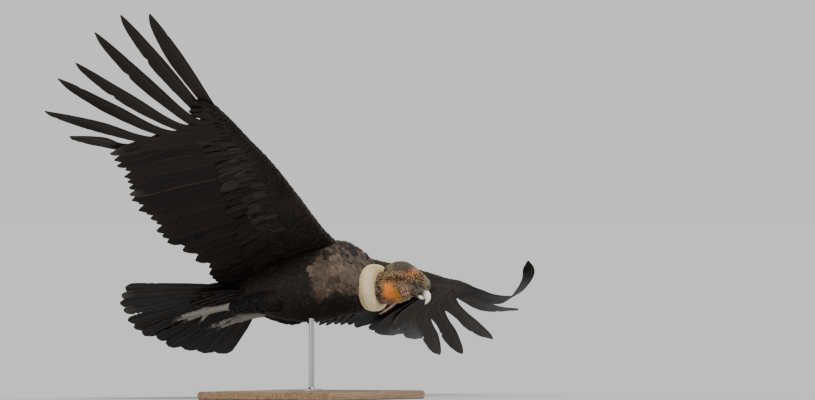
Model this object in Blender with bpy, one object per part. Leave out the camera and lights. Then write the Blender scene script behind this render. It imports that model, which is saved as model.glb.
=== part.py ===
# Andean condor, adult male, soaring in a banked turn on a plain display stand. Metres, +Z up.
# The bird is modelled level in its own frame (X to its left, Y back to the tail, Z up, origin in the
# middle of the body at the shoulders) and an empty then banks and pitches the whole of it.
import math
import random

import bmesh
import bpy
from mathutils import Matrix, Vector

# Pose of the bird in the air
BODY_HEIGHT = 0.43
BODY_AHEAD = 0.115
BODY_ASIDE = 0.040
BANK = math.radians(20.7)
PITCH = math.radians(11.2)

# Gap between neighbours, and thickness of the feathers at the root and the tip
GAP = 0.0005
FINEST = 0.000001
# Angle between faces that are joined and distance between points that are, coarsest first
MERGES = [(0.002, 0.00004), (0.002, 0.00002), (0.002, 0.00001), (0.001, 0.00003), (0.0004, 0.00002),
          (0.0004, 0.00001), (0.0, 0.00004), (0.0, 0.00003), (0.0, 0.00002), (0.0, 0.00001), (0.0, 0.000002)]
SHARP_ANGLE = math.radians(38)
COVERT_THICKNESS = (0.0014, 0.0008)
SECONDARY_THICKNESS = (0.0034, 0.0010)
FINGER_THICKNESS = (0.0042, 0.0012)
RECTRIX_THICKNESS = (0.0036, 0.0011)

# Wings, measured outwards from the midline of the body
WING_ROOT_OUT = 0.055
WRIST_OUT = 0.700
HAND_TIP_OUT = 0.985
FRONT = [(0.05, 0.000), (0.16, 0.000), (0.36, -0.016), (0.62, -0.027), (0.80, -0.013), (1.00, 0.000)]
LEADING_HEIGHT = [(0.05, 0.112), (0.18, 0.137), (0.36, 0.178), (0.54, 0.221), (0.70, 0.257),
                  (0.83, 0.297), (0.96, 0.324), (1.10, 0.345)]
TRAILING_BACK = [(0.05, 0.400), (0.13, 0.425), (0.26, 0.452), (0.36, 0.490), (0.45, 0.514),
                 (0.60, 0.512), (0.70, 0.490), (0.80, 0.458), (1.00, 0.420)]
TRAILING_DROP = [(0.05, 0.070), (0.30, 0.088), (0.60, 0.074), (0.80, 0.078), (1.00, 0.112)]
CAMBER = [(0.05, 0.030), (0.50, 0.028), (0.80, 0.014), (1.00, 0.004)]
FLESH_CHORD = [(0.05, 0.230), (0.20, 0.200), (0.36, 0.170), (0.55, 0.105), (0.70, 0.068), (0.90, 0.046),
               (0.985, 0.012)]
FLESH_HALF_THICKNESS = [(0.05, 0.034), (0.20, 0.029), (0.36, 0.023), (0.55, 0.0165), (0.70, 0.0135),
                        (0.90, 0.0090), (0.985, 0.0030)]

SECONDARIES = 13
INNER_ROOT_OUT = 0.075
INNER_TIP_OUT = 0.088
SECONDARY_WIDTH = 0.086
PRIMARIES = 10
# For each primary from the innermost: tip outwards, tip back and tip height, on the right and left wing
PRIMARY_TIPS = {
    "right": [(0.875, 0.440, 0.208), (0.930, 0.420, 0.206), (0.990, 0.402, 0.204), (1.204, 0.441, 0.199),
              (1.357, 0.454, 0.240), (1.389, 0.383, 0.340), (1.409, 0.297, 0.372), (1.453, 0.194, 0.452),
              (1.457, 0.086, 0.493), (1.405, -0.002, 0.498)],
    "left": [(0.910, 0.468, 0.222), (1.000, 0.450, 0.236), (1.090, 0.420, 0.262), (1.204, 0.430, 0.324),
             (1.357, 0.446, 0.362), (1.389, 0.383, 0.296), (1.409, 0.297, 0.290), (1.453, 0.194, 0.345),
             (1.457, 0.086, 0.441), (1.373, -0.002, 0.588)],
}
# Where the fingers part: outwards, back and height of each finger's shaft, from the innermost finger
FINGER_BASES = [
    (0.940, 0.330, 0.240), (0.935, 0.247, 0.250), (0.935, 0.187, 0.262), (0.938, 0.136, 0.275),
    (0.935, 0.088, 0.289), (0.935, 0.043, 0.305), (0.962, 0.002, 0.322),
]
# How much of its rise each finger has done half way along, on the right and left wing
FINGER_RISE = [(0.42, 0.40), (0.42, 0.40), (0.40, 0.42), (0.42, 0.42), (0.45, 0.40), (0.50, 0.38),
               (0.55, 0.22)]
# The left wing's outer finger curls up: outwards, back and height of its shaft beyond the base
CURLED_FINGER = [(1.100, 0.000, 0.345), (1.250, -0.002, 0.398), (1.350, -0.002, 0.480),
                 (1.398, -0.002, 0.550)]
PRIMARY_WIDTH = 0.074
FINGER_WIDTH = 0.062
FEATHER_ROLL = 0.10
PRIMARY_ROLL = 0.17
COVERT_ROLL = 0.07
CURLED_ROLL = 0.35

# Trunk sections from the neck to the rump: back, height of the middle, half width, rise, drop
TRUNK = [
    (-0.128, -0.052, 0.052, 0.066, 0.050), (-0.100, -0.044, 0.080, 0.106, 0.074),
    (-0.055, -0.024, 0.106, 0.134, 0.100), (0.000, -0.006, 0.122, 0.149, 0.116),
    (0.080, 0.002, 0.128, 0.140, 0.122), (0.170, 0.004, 0.120, 0.124, 0.118),
    (0.260, 0.008, 0.104, 0.104, 0.098), (0.340, 0.018, 0.080, 0.080, 0.074),
    (0.405, 0.030, 0.056, 0.052, 0.048), (0.440, 0.036, 0.030, 0.028, 0.026),
]

# Tail fan
RECTRICES = 12
TAIL_ROOT_BACK = 0.400
TAIL_ROOT_HEIGHT = 0.048
TAIL_SPREAD = math.radians(42.0)
TAIL_ROOT_HALF_WIDTH = 0.066
TAIL_LENGTH = 0.452
TAIL_DROOP = 0.17
TAIL_TURN = math.radians(1.5)
RECTRIX_WIDTH = 0.078

# Neck, ruff and head
RUFF_BACK = -0.120
RUFF_HEIGHT = -0.056
RUFF_RADIUS = 0.067
RUFF_LOCKS = 11
HEAD_BACK = -0.262
HEAD_HEIGHT = -0.068
HEAD_DOWN = math.radians(27.0)
HEAD_BANK = math.radians(5.0)
EYE_RADIUS = 0.0088
EYE_PLACE = Vector((0.0335, -0.0120, 0.0100))
NECK_JOINT = Vector((0.0, 0.0620, -0.0500))

# Feet, tucked back under the tail
TARSUS_LENGTH = 0.112
TOE_LENGTHS = {"inner": 0.078, "middle": 0.116, "outer": 0.086, "hind": 0.040}
CLAW_LENGTH = 0.026
TOE_HALF_WIDTH = 0.0100
HIND_TOE_HALF_WIDTH = 0.0070
THIGH_HALF_WIDTHS = [0.030, 0.042, 0.044, 0.038, 0.026, 0.017]
SHANK_HALF_WIDTHS = [0.0125, 0.0135, 0.0112, 0.0105, 0.0120, 0.0150, 0.0110]
HIP = Vector((0.066, 0.190, -0.040))
KNEE = Vector((0.070, 0.255, -0.052))
# Where each ankle lies: out of the middle to the left, back and height
ANKLES = {"right": Vector((-0.070, 0.440, -0.040)), "left": Vector((0.030, 0.350, -0.048))}

# Stand
BASE_LENGTH, BASE_WIDTH, BASE_THICKNESS = 0.74, 0.56, 0.030
ROD_RADIUS = 0.010
FLANGE_RADIUS = 0.040
FLANGE_THICKNESS = 0.007
ROD_INTO_BODY = 0.055
BREAST_DROP = 0.150
ROD_CHAMFER = 0.002
BASE_BEVEL = 0.006
BASE_CORNER = 0.030


def clear_scene():
    """Removes whatever the scene holds."""
    for obj in list(bpy.data.objects):
        bpy.data.objects.remove(obj, do_unlink=True)


def material(name, colour, roughness, metallic=0.0):
    made = bpy.data.materials.new(name)
    made.use_nodes = True
    shader = made.node_tree.nodes["Principled BSDF"]
    shader.inputs["Base Color"].default_value = (*colour, 1.0)
    shader.inputs["Roughness"].default_value = roughness
    shader.inputs["Metallic"].default_value = metallic
    made.diffuse_color = (*colour, 1.0)
    return made


def eased(x, stops):
    """Value at x on a smooth curve through the (x, value) stops, flat beyond its ends."""
    if x <= stops[0][0]:
        return stops[0][1]
    for i in range(len(stops) - 1):
        (x0, v0), (x1, v1) = stops[i], stops[i + 1]
        if x <= x1:
            before, after = stops[max(i - 1, 0)], stops[min(i + 2, len(stops) - 1)]
            slope0 = (v1 - before[1]) / (x1 - before[0])
            slope1 = (after[1] - v0) / (after[0] - x0)
            span, t = x1 - x0, (x - x0) / (x1 - x0)
            return (v0 * (1 + 2 * t) * (1 - t) ** 2 + v1 * t * t * (3 - 2 * t)
                    + span * (slope0 * t * (1 - t) ** 2 - slope1 * t * t * (1 - t)))
    return stops[-1][1]


def smooth_rows(rows, steps):
    """Rows of numbers with Catmull-Rom rows put between them, steps to each span."""
    ends = [rows[0]] + list(rows) + [rows[-1]]
    made = []
    for i in range(len(rows) - 1):
        a, b, c, d = ends[i:i + 4]
        for k in range(steps):
            t = k / steps
            made.append(tuple(
                0.5 * (2 * q + (r - p) * t + (2 * p - 5 * q + 4 * r - s) * t * t
                       + (3 * q - p - 3 * r + s) * t ** 3)
                for p, q, r, s in zip(a, b, c, d)))
    made.append(tuple(rows[-1]))
    return made


def node(name, verts, faces, skin, parent=None):
    """A mesh object from points and faces, facing outwards."""
    mesh = bpy.data.meshes.new(name)
    mesh.from_pydata([tuple(v) for v in verts], [], faces)
    shape = bmesh.new()
    shape.from_mesh(mesh)
    bmesh.ops.recalc_face_normals(shape, faces=shape.faces)
    if shape.calc_volume(signed=True) < 0:
        bmesh.ops.reverse_faces(shape, faces=shape.faces)
    shape.to_mesh(mesh)
    shape.free()
    mesh.materials.append(skin)
    obj = bpy.data.objects.new(name, mesh)
    bpy.context.scene.collection.objects.link(obj)
    obj.parent = parent
    return obj


def loft(rings):
    """Points and faces of a closed solid through rings of equal count, with a flat face on each end."""
    count = len(rings[0])
    verts = [p for ring in rings for p in ring]
    faces = [list(range(count))[::-1]]
    for i in range(len(rings) - 1):
        for k in range(count):
            a, b = i * count + k, i * count + (k + 1) % count
            faces.append([a, b, b + count, a + count])
    faces.append([(len(rings) - 1) * count + k for k in range(count)])
    return verts, faces


def oval_ring(centre, side, up, half_width, rise, drop, count):
    """A ring of points round centre, with its own height above and below."""
    ring = []
    for k in range(count):
        turn = 2 * math.pi * k / count
        over = math.sin(turn) * (rise if math.sin(turn) > 0 else drop)
        ring.append(centre + side * (half_width * math.cos(turn)) + up * over)
    return ring


def rod_rings(points, radii, count, flat=1.0, up=Vector((0, 0, 1))):
    """Rings along a bent limb: points on its middle line, and its half width at each."""
    rings = []
    for i, point in enumerate(points):
        ahead = points[min(i + 1, len(points) - 1)] - points[max(i - 1, 0)]
        side = ahead.cross(up).normalized()
        over = side.cross(ahead).normalized()
        rings.append(oval_ring(point, side, over, radii[i], radii[i] * flat, radii[i] * flat, count))
    return rings


def applied(obj):
    """Bakes an object's modifiers into its mesh."""
    bpy.context.view_layer.update()
    graph = bpy.context.evaluated_depsgraph_get()
    mesh = bpy.data.meshes.new_from_object(obj.evaluated_get(graph), depsgraph=graph)
    obj.modifiers.clear()
    obj.data = mesh
    return obj


def keep_largest(obj):
    """Keeps the largest closed surface of a mesh, which drops sealed hollows and loose scraps."""
    shape = bmesh.new()
    shape.from_mesh(obj.data)
    bmesh.ops.dissolve_degenerate(shape, dist=FINEST, edges=shape.edges)
    left, islands = set(shape.faces), []
    while left:
        island, edge = set(), [left.pop()]
        while edge:
            face = edge.pop()
            island.add(face)
            for near in {f for e in face.edges for f in e.link_faces} & left:
                left.discard(near)
                edge.append(near)
        islands.append(island)
    biggest = max(islands, key=lambda island: sum(f.calc_area() for f in island))
    loose = [f for island in islands if island is not biggest for f in island]
    bmesh.ops.delete(shape, geom=loose, context="FACES")
    shape.to_mesh(obj.data)
    shape.free()
    return obj


def boolean(obj, others, operation):
    """Joins or cuts obj with other closed meshes, which are then removed."""
    group = bpy.data.collections.new("tools")
    bpy.context.scene.collection.children.link(group)
    for other in others:
        bpy.context.scene.collection.objects.unlink(other)
        group.objects.link(other)
    tool = obj.modifiers.new(operation.lower(), "BOOLEAN")
    tool.operand_type = "COLLECTION"
    tool.collection = group
    tool.operation = operation
    tool.solver = "MANIFOLD"
    applied(obj)
    for other in others:
        bpy.data.objects.remove(other, do_unlink=True)
    bpy.data.collections.remove(group)
    return keep_largest(obj)


def swollen(obj, by):
    """A copy of a solid that stands proud of it by a small gap all round, for cutting its neighbours."""
    mesh = obj.data.copy()
    shape = bmesh.new()
    shape.from_mesh(mesh)
    shape.normal_update()
    moves = [(v, v.normal * by) for v in shape.verts]
    for v, move in moves:
        v.co += move
    shape.to_mesh(mesh)
    shape.free()
    copy = bpy.data.objects.new(obj.name + "_clearance", mesh)
    bpy.context.scene.collection.objects.link(copy)
    copy.parent = obj.parent
    return copy


def cut_clear(obj, neighbour):
    """Cuts obj back from its neighbour so that the two meet face to face."""
    return boolean(obj, [swollen(neighbour, GAP)], "DIFFERENCE")


# Feathers


def plate(path, lateral, outline, thickness, share=0.5):
    """One feather as a thin closed plate that tapers to its tip, split alike on both faces.

    path gives the shaft's place at 0..1, lateral the sideways direction towards the leading edge,
    outline the (place along, width) stops, thickness the plate's at the root and the tip, and share
    how much of the width lies ahead of the shaft.
    """
    verts, faces = [], []
    for t, width in outline:
        thick = thickness[0] + (thickness[1] - thickness[0]) * t
        ahead = (path(min(t + 0.02, 1.0)) - path(max(t - 0.02, 0.0))).normalized()
        side = lateral(t)
        side = (side - ahead * side.dot(ahead)).normalized()
        up = ahead.cross(side)
        if up.z < 0:
            up = -up
        centre = path(t)
        for across, over in ((share, 0.5), (share - 1, 0.5), (share - 1, -0.5), (share, -0.5)):
            verts.append(centre + side * (width * across) + up * (thick * over))
    for i in range(len(outline) - 1):
        a, b = 4 * i, 4 * (i + 1)
        faces += [[a, a + 1, b + 1], [a, b + 1, b], [a + 3, b + 2, a + 2], [a + 3, b + 3, b + 2]]
        faces += [[a + 1, a + 2, b + 2], [a + 1, b + 2, b + 1], [a + 3, a, b], [a + 3, b, b + 3]]
    last = 4 * (len(outline) - 1)
    faces += [[3, 2, 1], [3, 1, 0], [last, last + 1, last + 2], [last, last + 2, last + 3]]
    return verts, faces


FLIGHT_OUTLINE = [(0.0, 0.40), (0.16, 1.0), (0.90, 0.90), (1.0, 0.22)]
FINGER_OUTLINE = [(0.0, 0.16), (0.20, 0.85), (0.36, 0.66), (0.64, 1.0), (0.88, 0.62), (1.0, 0.10)]
CURLED_OUTLINE = [(0.0, 0.16), (0.20, 0.72), (0.40, 0.85), (0.60, 1.0), (0.78, 0.88), (0.92, 0.55),
                  (1.0, 0.12)]
COVERT_OUTLINE = [(0.0, 0.70), (0.50, 1.0), (0.88, 0.80), (1.0, 0.20)]


def wing_front(out):
    """How far back the leading edge lies."""
    return eased(out, FRONT)


def wing_height(out, back):
    """Height of the wing's middle surface at a place on its plan."""
    front = wing_front(out)
    share = min(max((back - front) / (eased(out, TRAILING_BACK) - front), 0.0), 1.05)
    arch = 4 * share * (1 - share) * eased(out, CAMBER)
    return eased(out, LEADING_HEIGHT) - eased(out, TRAILING_DROP) * share + arch


def flesh_section(side, out, count):
    """The arm's section, nose to back edge, as a ring of points."""
    chord, half = eased(out, FLESH_CHORD), eased(out, FLESH_HALF_THICKNESS)
    front = wing_front(out)
    ring = []
    for k in range(count):
        turn = 2 * math.pi * k / count
        share = 0.5 - 0.5 * math.cos(turn)
        back = front + chord * share
        swell = math.copysign(abs(math.sin(turn)) ** 0.65, math.sin(turn)) * (1.0 - 0.50 * share)
        ring.append(Vector((side * out, back, wing_height(out, back) + half * swell)))
    return ring


def flesh(side, out_from, out_to, steps, count=8):
    """The skin-covered arm between two distances from the midline."""
    return loft([flesh_section(side, out_from + (out_to - out_from) * i / steps, count)
                 for i in range(steps + 1)])


def on_wing(side, out, back, lift=0.0):
    return Vector((side * out, back, wing_height(out, back) + lift))


def rolled(side, ahead, roll):
    """Sideways direction towards the leading edge, with that edge raised by the roll."""
    flat = ahead.cross(Vector((0, 0, 1))) * side
    return flat.normalized() + Vector((0, 0, roll))


def secondary(side, number):
    """A flight feather of the forearm; number 0 is the one next to the wrist."""
    share = number / (SECONDARIES - 1)
    root_out = WRIST_OUT - 0.012 + (INNER_ROOT_OUT - WRIST_OUT + 0.012) * share
    tip_out = 0.815 + (INNER_TIP_OUT - 0.815) * share
    root_back = wing_front(root_out) + eased(root_out, FLESH_CHORD) - 0.022
    tip_back = eased(tip_out, TRAILING_BACK) + random.uniform(-0.006, 0.006)

    def path(t):
        return on_wing(side, root_out + (tip_out - root_out) * t, root_back + (tip_back - root_back) * t)

    ahead = path(1.0) - path(0.0)
    share_ahead = 0.24 if number == 0 else 0.36
    return plate(path, lambda t: rolled(side, ahead, FEATHER_ROLL),
                 [(t, w * SECONDARY_WIDTH) for t, w in FLIGHT_OUTLINE], SECONDARY_THICKNESS, share_ahead)


def smooth_path(points):
    """A function of 0..1 along a smooth curve through the points."""
    rows = smooth_rows([tuple(p) for p in points], 6)
    last = len(rows) - 1

    def path(t):
        i = min(int(t * last), last - 1)
        return Vector(rows[i]).lerp(Vector(rows[i + 1]), t * last - i)

    return path


def primary(side, number, wing):
    """A flight feather of the hand; number 0 is the innermost."""
    root_out = WRIST_OUT + 0.024 + 0.0205 * number
    root_back = wing_front(root_out) + eased(root_out, FLESH_CHORD) * 0.62
    root = on_wing(side, root_out, root_back)
    tip_out, tip_back, tip_height = PRIMARY_TIPS[wing][number]
    tip = Vector((side * tip_out, tip_back, tip_height))
    finger = number - (PRIMARIES - len(FINGER_BASES))
    curled = wing == "left" and number == PRIMARIES - 1
    if finger < 0:
        points = [root, on_wing(side, (root_out + tip_out) / 2, (root_back + tip_back) / 2), tip]
    else:
        out, back, height = FINGER_BASES[finger]
        base = Vector((side * out, back, height))
        rise = FINGER_RISE[finger][0 if wing == "right" else 1]
        half = base.lerp(tip, 0.52)
        half.z = base.z + (tip.z - base.z) * rise
        points = [root, base, half, tip]
    if curled:
        points = [root, base] + [Vector((side * x, y, z)) for x, y, z in CURLED_FINGER] + [tip]
    path = smooth_path(points)

    def lateral(t):
        if curled:
            return Vector((0, -1, CURLED_ROLL))
        ahead = path(min(t + 0.05, 1)) - path(max(t - 0.05, 0))
        return rolled(side, ahead, PRIMARY_ROLL)

    if finger < 0:
        share_ahead = 0.62 if number == 0 else 0.38
        return plate(path, lateral, [(t, w * PRIMARY_WIDTH) for t, w in FLIGHT_OUTLINE],
                     SECONDARY_THICKNESS, share_ahead)
    share_ahead = 0.22 if number == PRIMARIES - 1 else 0.32
    outline = CURLED_OUTLINE if curled else FINGER_OUTLINE
    return plate(path, lateral, [(t, w * FINGER_WIDTH) for t, w in outline], FINGER_THICKNESS,
                 share_ahead)


def covert(side, out, start, length, width, lift, sweep=0.06, end_lift=None):
    """A covert that starts start behind the leading edge and lies back along the wing."""
    back = wing_front(out) + start
    end_lift = lift if end_lift is None else end_lift

    def path(t):
        place = on_wing(side, out + sweep * length / 0.12 * t, back + length * t)
        return place + Vector((0, 0, lift + (end_lift - lift) * t))

    ahead = path(1.0) - path(0.0)
    return plate(path, lambda t: rolled(side, ahead, COVERT_ROLL),
                 [(t, w * width) for t, w in COVERT_OUTLINE], COVERT_THICKNESS)


def covert_row(side, outs, share, length, width, lift, end_lift, sweep):
    """A tier of coverts rooted in the arm's upper (lift > 0) or lower face."""
    made = []
    for out in outs:
        chord = eased(out, FLESH_CHORD)
        half = eased(out, FLESH_HALF_THICKNESS)
        skin = half * math.sin(math.acos(1 - 2 * share)) ** 0.65 * (1.0 - 0.50 * share)
        start = math.copysign(skin - 0.0035, lift)
        made.append(covert(side, out, chord * share, length * random.uniform(0.94, 1.06), width,
                           start, sweep, end_lift))
    return made


def spread(first, last, count):
    return [first + (last - first) * i / (count - 1) for i in range(count)]


def make_wing(wing, side, parent, black, trunk):
    """The arm with its secondaries and coverts, and the hand with its primaries, as two nodes."""
    split = WRIST_OUT + 0.008
    arm = node(f"{wing}_wing_arm", *flesh(side, WING_ROOT_OUT, split - GAP, 5), black, parent)
    pieces = [secondary(side, k) for k in range(SECONDARIES)]
    pieces += covert_row(side, spread(0.13, 0.600, 7), 0.74, 0.150, 0.102, 1, 0.0072, 0.012)
    pieces += covert_row(side, spread(0.15, 0.590, 5), 0.45, 0.120, 0.132, 1, 0.0112, 0.012)
    pieces += covert_row(side, spread(0.13, 0.605, 7), 0.74, 0.125, 0.102, -1, -0.0070, 0.010)
    feathers = [node(f"feather_{i}", *piece, black, parent) for i, piece in enumerate(pieces)]
    boolean(arm, feathers, "UNION")
    cut_clear(arm, trunk)
    hand = node(f"{wing}_wing_hand", *flesh(side, split, HAND_TIP_OUT, 3), black, parent)
    pieces = [primary(side, k, wing) for k in range(PRIMARIES)]
    pieces += covert_row(side, spread(0.740, 0.940, 4), 0.62, 0.115, 0.068, 1, 0.0085, 0.085)
    pieces += covert_row(side, spread(0.745, 0.925, 3), 0.62, 0.105, 0.080, -1, -0.0085, 0.085)
    feathers = [node(f"feather_{i}", *piece, black, parent) for i, piece in enumerate(pieces)]
    boolean(hand, feathers, "UNION")
    cut_clear(hand, arm)
    return arm


def make_trunk(parent, brown):
    """The trunk from the base of the neck to the rump."""
    rings = [oval_ring(Vector((0, back, middle)), Vector((1, 0, 0)), Vector((0, 0, 1)), half, rise,
                       drop, 14)
             for back, middle, half, rise, drop in smooth_rows(TRUNK, 2)]
    return node("torso", *loft(rings), brown, parent)


def rectrix(number):
    """A tail feather; number 0 is the outermost on the right."""
    share = (number - (RECTRICES - 1) / 2) / ((RECTRICES - 1) / 2)
    turn = share * TAIL_SPREAD - TAIL_TURN
    root = Vector((share * TAIL_ROOT_HALF_WIDTH, TAIL_ROOT_BACK, TAIL_ROOT_HEIGHT))
    layer = -0.0030 * abs(share) * RECTRICES / 2 - (0.0016 if share > 0 else 0.0)
    shorter = 0.03 if share < 0 else 0.09
    length = TAIL_LENGTH * (1 - shorter * share * share) * random.uniform(0.985, 1.015)

    def path(t):
        run = length * t
        place = root + Vector((math.sin(turn), math.cos(turn), -TAIL_DROOP * math.cos(turn))) * run
        return place + Vector((0, 0, layer))

    outward = Vector((math.cos(turn), -math.sin(turn), 0)) * (1 if share > 0 else -1)
    stops = [(0.0, 0.20), (0.38, 0.94), (0.84, 1.0), (0.96, 0.70), (1.0, 0.22)]
    return plate(path, lambda t: outward, [(t, w * RECTRIX_WIDTH) for t, w in stops], RECTRIX_THICKNESS,
                 0.42)


def tail_covert(share, length, height, back, spread_angle, width):
    turn = share * spread_angle
    root = Vector((share * 0.060, back, height))

    def path(t):
        run = length * t
        return root + Vector((math.sin(turn), math.cos(turn), -TAIL_DROOP * math.cos(turn))) * run

    outward = Vector((math.cos(turn), -math.sin(turn), 0.04))
    return plate(path, lambda t: outward, [(t, w * width) for t, w in COVERT_OUTLINE], COVERT_THICKNESS)


def make_tail(parent, black, neighbours):
    """The tail's root with its fan of feathers and the coverts above and below it."""
    middle = TAIL_ROOT_HEIGHT - 0.008
    rings = [oval_ring(Vector((0, back, height)), Vector((1, 0, 0)), Vector((0, 0, 1)), half, deep,
                       deep, 14)
             for back, height, half, deep in (
                 (0.355, middle, 0.078, 0.034), (0.400, middle - 0.002, 0.082, 0.030),
                 (0.435, middle - 0.006, 0.084, 0.022), (0.462, middle - 0.011, 0.074, 0.013))]
    tail = node("tail", *loft(rings), black, parent)
    pieces = [rectrix(k) for k in range(RECTRICES)]
    for layer, (count, length) in enumerate(((4, 0.150), (3, 0.110))):
        for share in spread(-1, 1, count):
            rise = 0.008 + 0.006 * layer
            pieces.append(tail_covert(share, length, middle + rise - 0.004 * abs(share),
                                      0.428 - 0.030 * layer, 0.62, 0.074))
            pieces.append(tail_covert(share, length * 1.05, middle - 0.022 - 0.004 * layer,
                                      0.425 - 0.030 * layer, 0.58, 0.074))
    feathers = [node(f"feather_{i}", *piece, black, parent) for i, piece in enumerate(pieces)]
    boolean(tail, feathers, "UNION")
    for neighbour in neighbours:
        cut_clear(tail, neighbour)
    return tail


# Neck and head


def make_neck(parent, head_turn, skin, trunk):
    """The bare folded neck between the ruff and the head."""
    start = Vector((0, -0.070, -0.040))
    joint = head_turn @ NECK_JOINT
    ahead = (head_turn.to_3x3() @ Vector((0, -math.cos(HEAD_DOWN), math.sin(HEAD_DOWN)))).normalized()
    rings = []
    steps = 13
    for i in range(steps + 1):
        t = i / steps
        place = start.lerp(joint - ahead * (GAP if i == steps else 0.0), t)
        place += Vector((0, 0, -0.006 * math.sin(math.pi * t)))
        side = Vector((1, 0, 0))
        tangent = (joint - start).normalized().lerp(ahead, t).normalized()
        side = (side - tangent * side.dot(tangent)).normalized()
        up = side.cross(tangent)
        if up.z < 0:
            up = -up
        fold = 0.0026 * math.sin(2 * math.pi * 4.5 * t) * math.sin(math.pi * t)
        half = 0.050 + 0.006 * t + fold
        rings.append(oval_ring(place, side, up, half, half + 0.003, half + 0.003, 16))
    neck = node("neck", *loft(rings), skin, parent)
    return cut_clear(neck, trunk)


# Lock of the ruff: place out of the collar's ring and along its axis, half width, half thickness
LOCK_FORWARD = [(-0.003, 0.0040, 0.0150, 0.0030), (0.0160, 0.0035, 0.0225, 0.0034),
                (0.0180, 0.020, 0.0195, 0.0028), (0.0060, 0.0350, 0.0060, 0.0014)]
LOCK_BACKWARD = [(-0.003, -0.0040, 0.0150, 0.0030), (0.0185, -0.0045, 0.0225, 0.0034),
                 (0.0195, -0.020, 0.0195, 0.0028), (0.0080, -0.0330, 0.0060, 0.0014)]


def ruff_lock(turn, profile, axis, side, up, centre):
    """A flat lock of the down, rooted in the core and bent over the collar."""
    out = side * math.cos(turn) + up * math.sin(turn)
    around = axis.cross(out)
    sweep = random.uniform(-0.006, 0.006)
    reach = random.uniform(0.94, 1.06)
    points = [centre + out * (RUFF_RADIUS + a) + axis * (b * reach) + around * (sweep * i / 3)
              for i, (a, b, _, _) in enumerate(profile)]
    rings = []
    for i, (_, _, wide, thick) in enumerate(profile):
        ahead = (points[min(i + 1, 3)] - points[max(i - 1, 0)]).normalized()
        across = (around + out * 0.22).normalized()
        across = (across - ahead * across.dot(ahead)).normalized()
        over = ahead.cross(across)
        rings.append([points[i] + across * wide + over * thick, points[i] - across * wide + over * thick,
                      points[i] - across * wide - over * thick, points[i] + across * wide - over * thick])
    return loft(rings)


def make_ruff(parent, pose, white, trunk, neck):
    """The collar of white down: a slim core ring under two tiers of bent, overlapping locks."""
    centre = Vector((0, RUFF_BACK - 0.002, RUFF_HEIGHT))
    axis = (pose.to_3x3().inverted() @ Vector((0, -1, 0))).normalized()
    side = (Vector((1, 0, 0)) - axis * axis.x).normalized()
    up = side.cross(axis)
    if up.z < 0:
        up = -up
    around, section = 16, 5
    verts, faces = [], []
    for i in range(around):
        turn = 2 * math.pi * i / around
        out = side * math.cos(turn) + up * math.sin(turn)
        for k in range(section):
            lean = 2 * math.pi * k / section
            verts.append(centre + out * (RUFF_RADIUS + 0.009 * math.cos(lean))
                         + axis * (0.020 * math.sin(lean)))
    for i in range(around):
        for k in range(section):
            a, b = i * section + k, i * section + (k + 1) % section
            c = ((i + 1) % around) * section
            faces.append([a, b, c + (k + 1) % section, c + k])
    ruff = node("ruff", verts, faces, white, parent)
    locks = []
    for i in range(RUFF_LOCKS):
        turn = 2 * math.pi * i / RUFF_LOCKS
        locks.append(ruff_lock(turn, LOCK_FORWARD, axis, side, up, centre))
        locks.append(ruff_lock(turn + math.pi / RUFF_LOCKS, LOCK_BACKWARD, axis, side, up, centre))
    pieces = [node(f"lock_{i}", *lock, white, parent) for i, lock in enumerate(locks)]
    boolean(ruff, pieces, "UNION")
    cut_clear(ruff, trunk)
    return cut_clear(ruff, neck)


# Head sections from the neck to the cere: back, height, half width, rise, drop, lean in degrees
HEAD = [
    (0.0620, -0.0500, 0.0550, 0.0590, 0.0580, 27), (0.0400, -0.0330, 0.0510, 0.0560, 0.0530, 20),
    (0.0200, -0.0190, 0.0460, 0.0530, 0.0490, 12), (0.0000, -0.0080, 0.0400, 0.0470, 0.0430, 5),
    (-0.0180, -0.0040, 0.0340, 0.0385, 0.0360, 0), (-0.0340, -0.0040, 0.0275, 0.0300, 0.0300, 0),
    (-0.0480, -0.0060, 0.0215, 0.0225, 0.0240, 0), (-0.0580, -0.0080, 0.0170, 0.0170, 0.0185, 0),
]
# Outline of the comb over the skull: back, foot, top, half thickness
COMB = [
    (-0.0800, 0.012, 0.030, 0.0050), (-0.0755, 0.008, 0.041, 0.0085), (-0.0620, 0.010, 0.0500, 0.0105),
    (-0.0420, 0.012, 0.0545, 0.0120), (-0.0180, 0.015, 0.0590, 0.0125), (0.0050, 0.018, 0.0635, 0.0125),
    (0.0300, 0.015, 0.0655, 0.0120), (0.0500, 0.010, 0.0625, 0.0115), (0.0700, 0.002, 0.0540, 0.0110),
    (0.0880, -0.008, 0.0420, 0.0100), (0.1020, -0.010, 0.0260, 0.0080), (0.1080, -0.006, 0.0120, 0.0050),
]


def tube(points, radii, count=8, flat=1.0, up=Vector((0, 0, 1))):
    return loft(rod_rings(points, radii, count, flat, up))


def ball(place, radii, rings=6, count=10):
    """An egg-shaped closed solid."""
    verts = [place + Vector((0, 0, radii[2]))]
    for i in range(1, rings):
        lean = math.pi * i / rings
        for k in range(count):
            turn = 2 * math.pi * k / count
            verts.append(place + Vector((radii[0] * math.sin(lean) * math.cos(turn),
                                         radii[1] * math.sin(lean) * math.sin(turn),
                                         radii[2] * math.cos(lean))))
    verts.append(place - Vector((0, 0, radii[2])))
    last = len(verts) - 1
    faces = [[0, 1 + k, 1 + (k + 1) % count] for k in range(count)]
    for i in range(rings - 2):
        for k in range(count):
            a, b = 1 + i * count + k, 1 + i * count + (k + 1) % count
            faces.append([a, a + count, b + count, b])
    start = 1 + (rings - 2) * count
    faces += [[last, start + (k + 1) % count, start + k] for k in range(count)]
    return verts, faces


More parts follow.
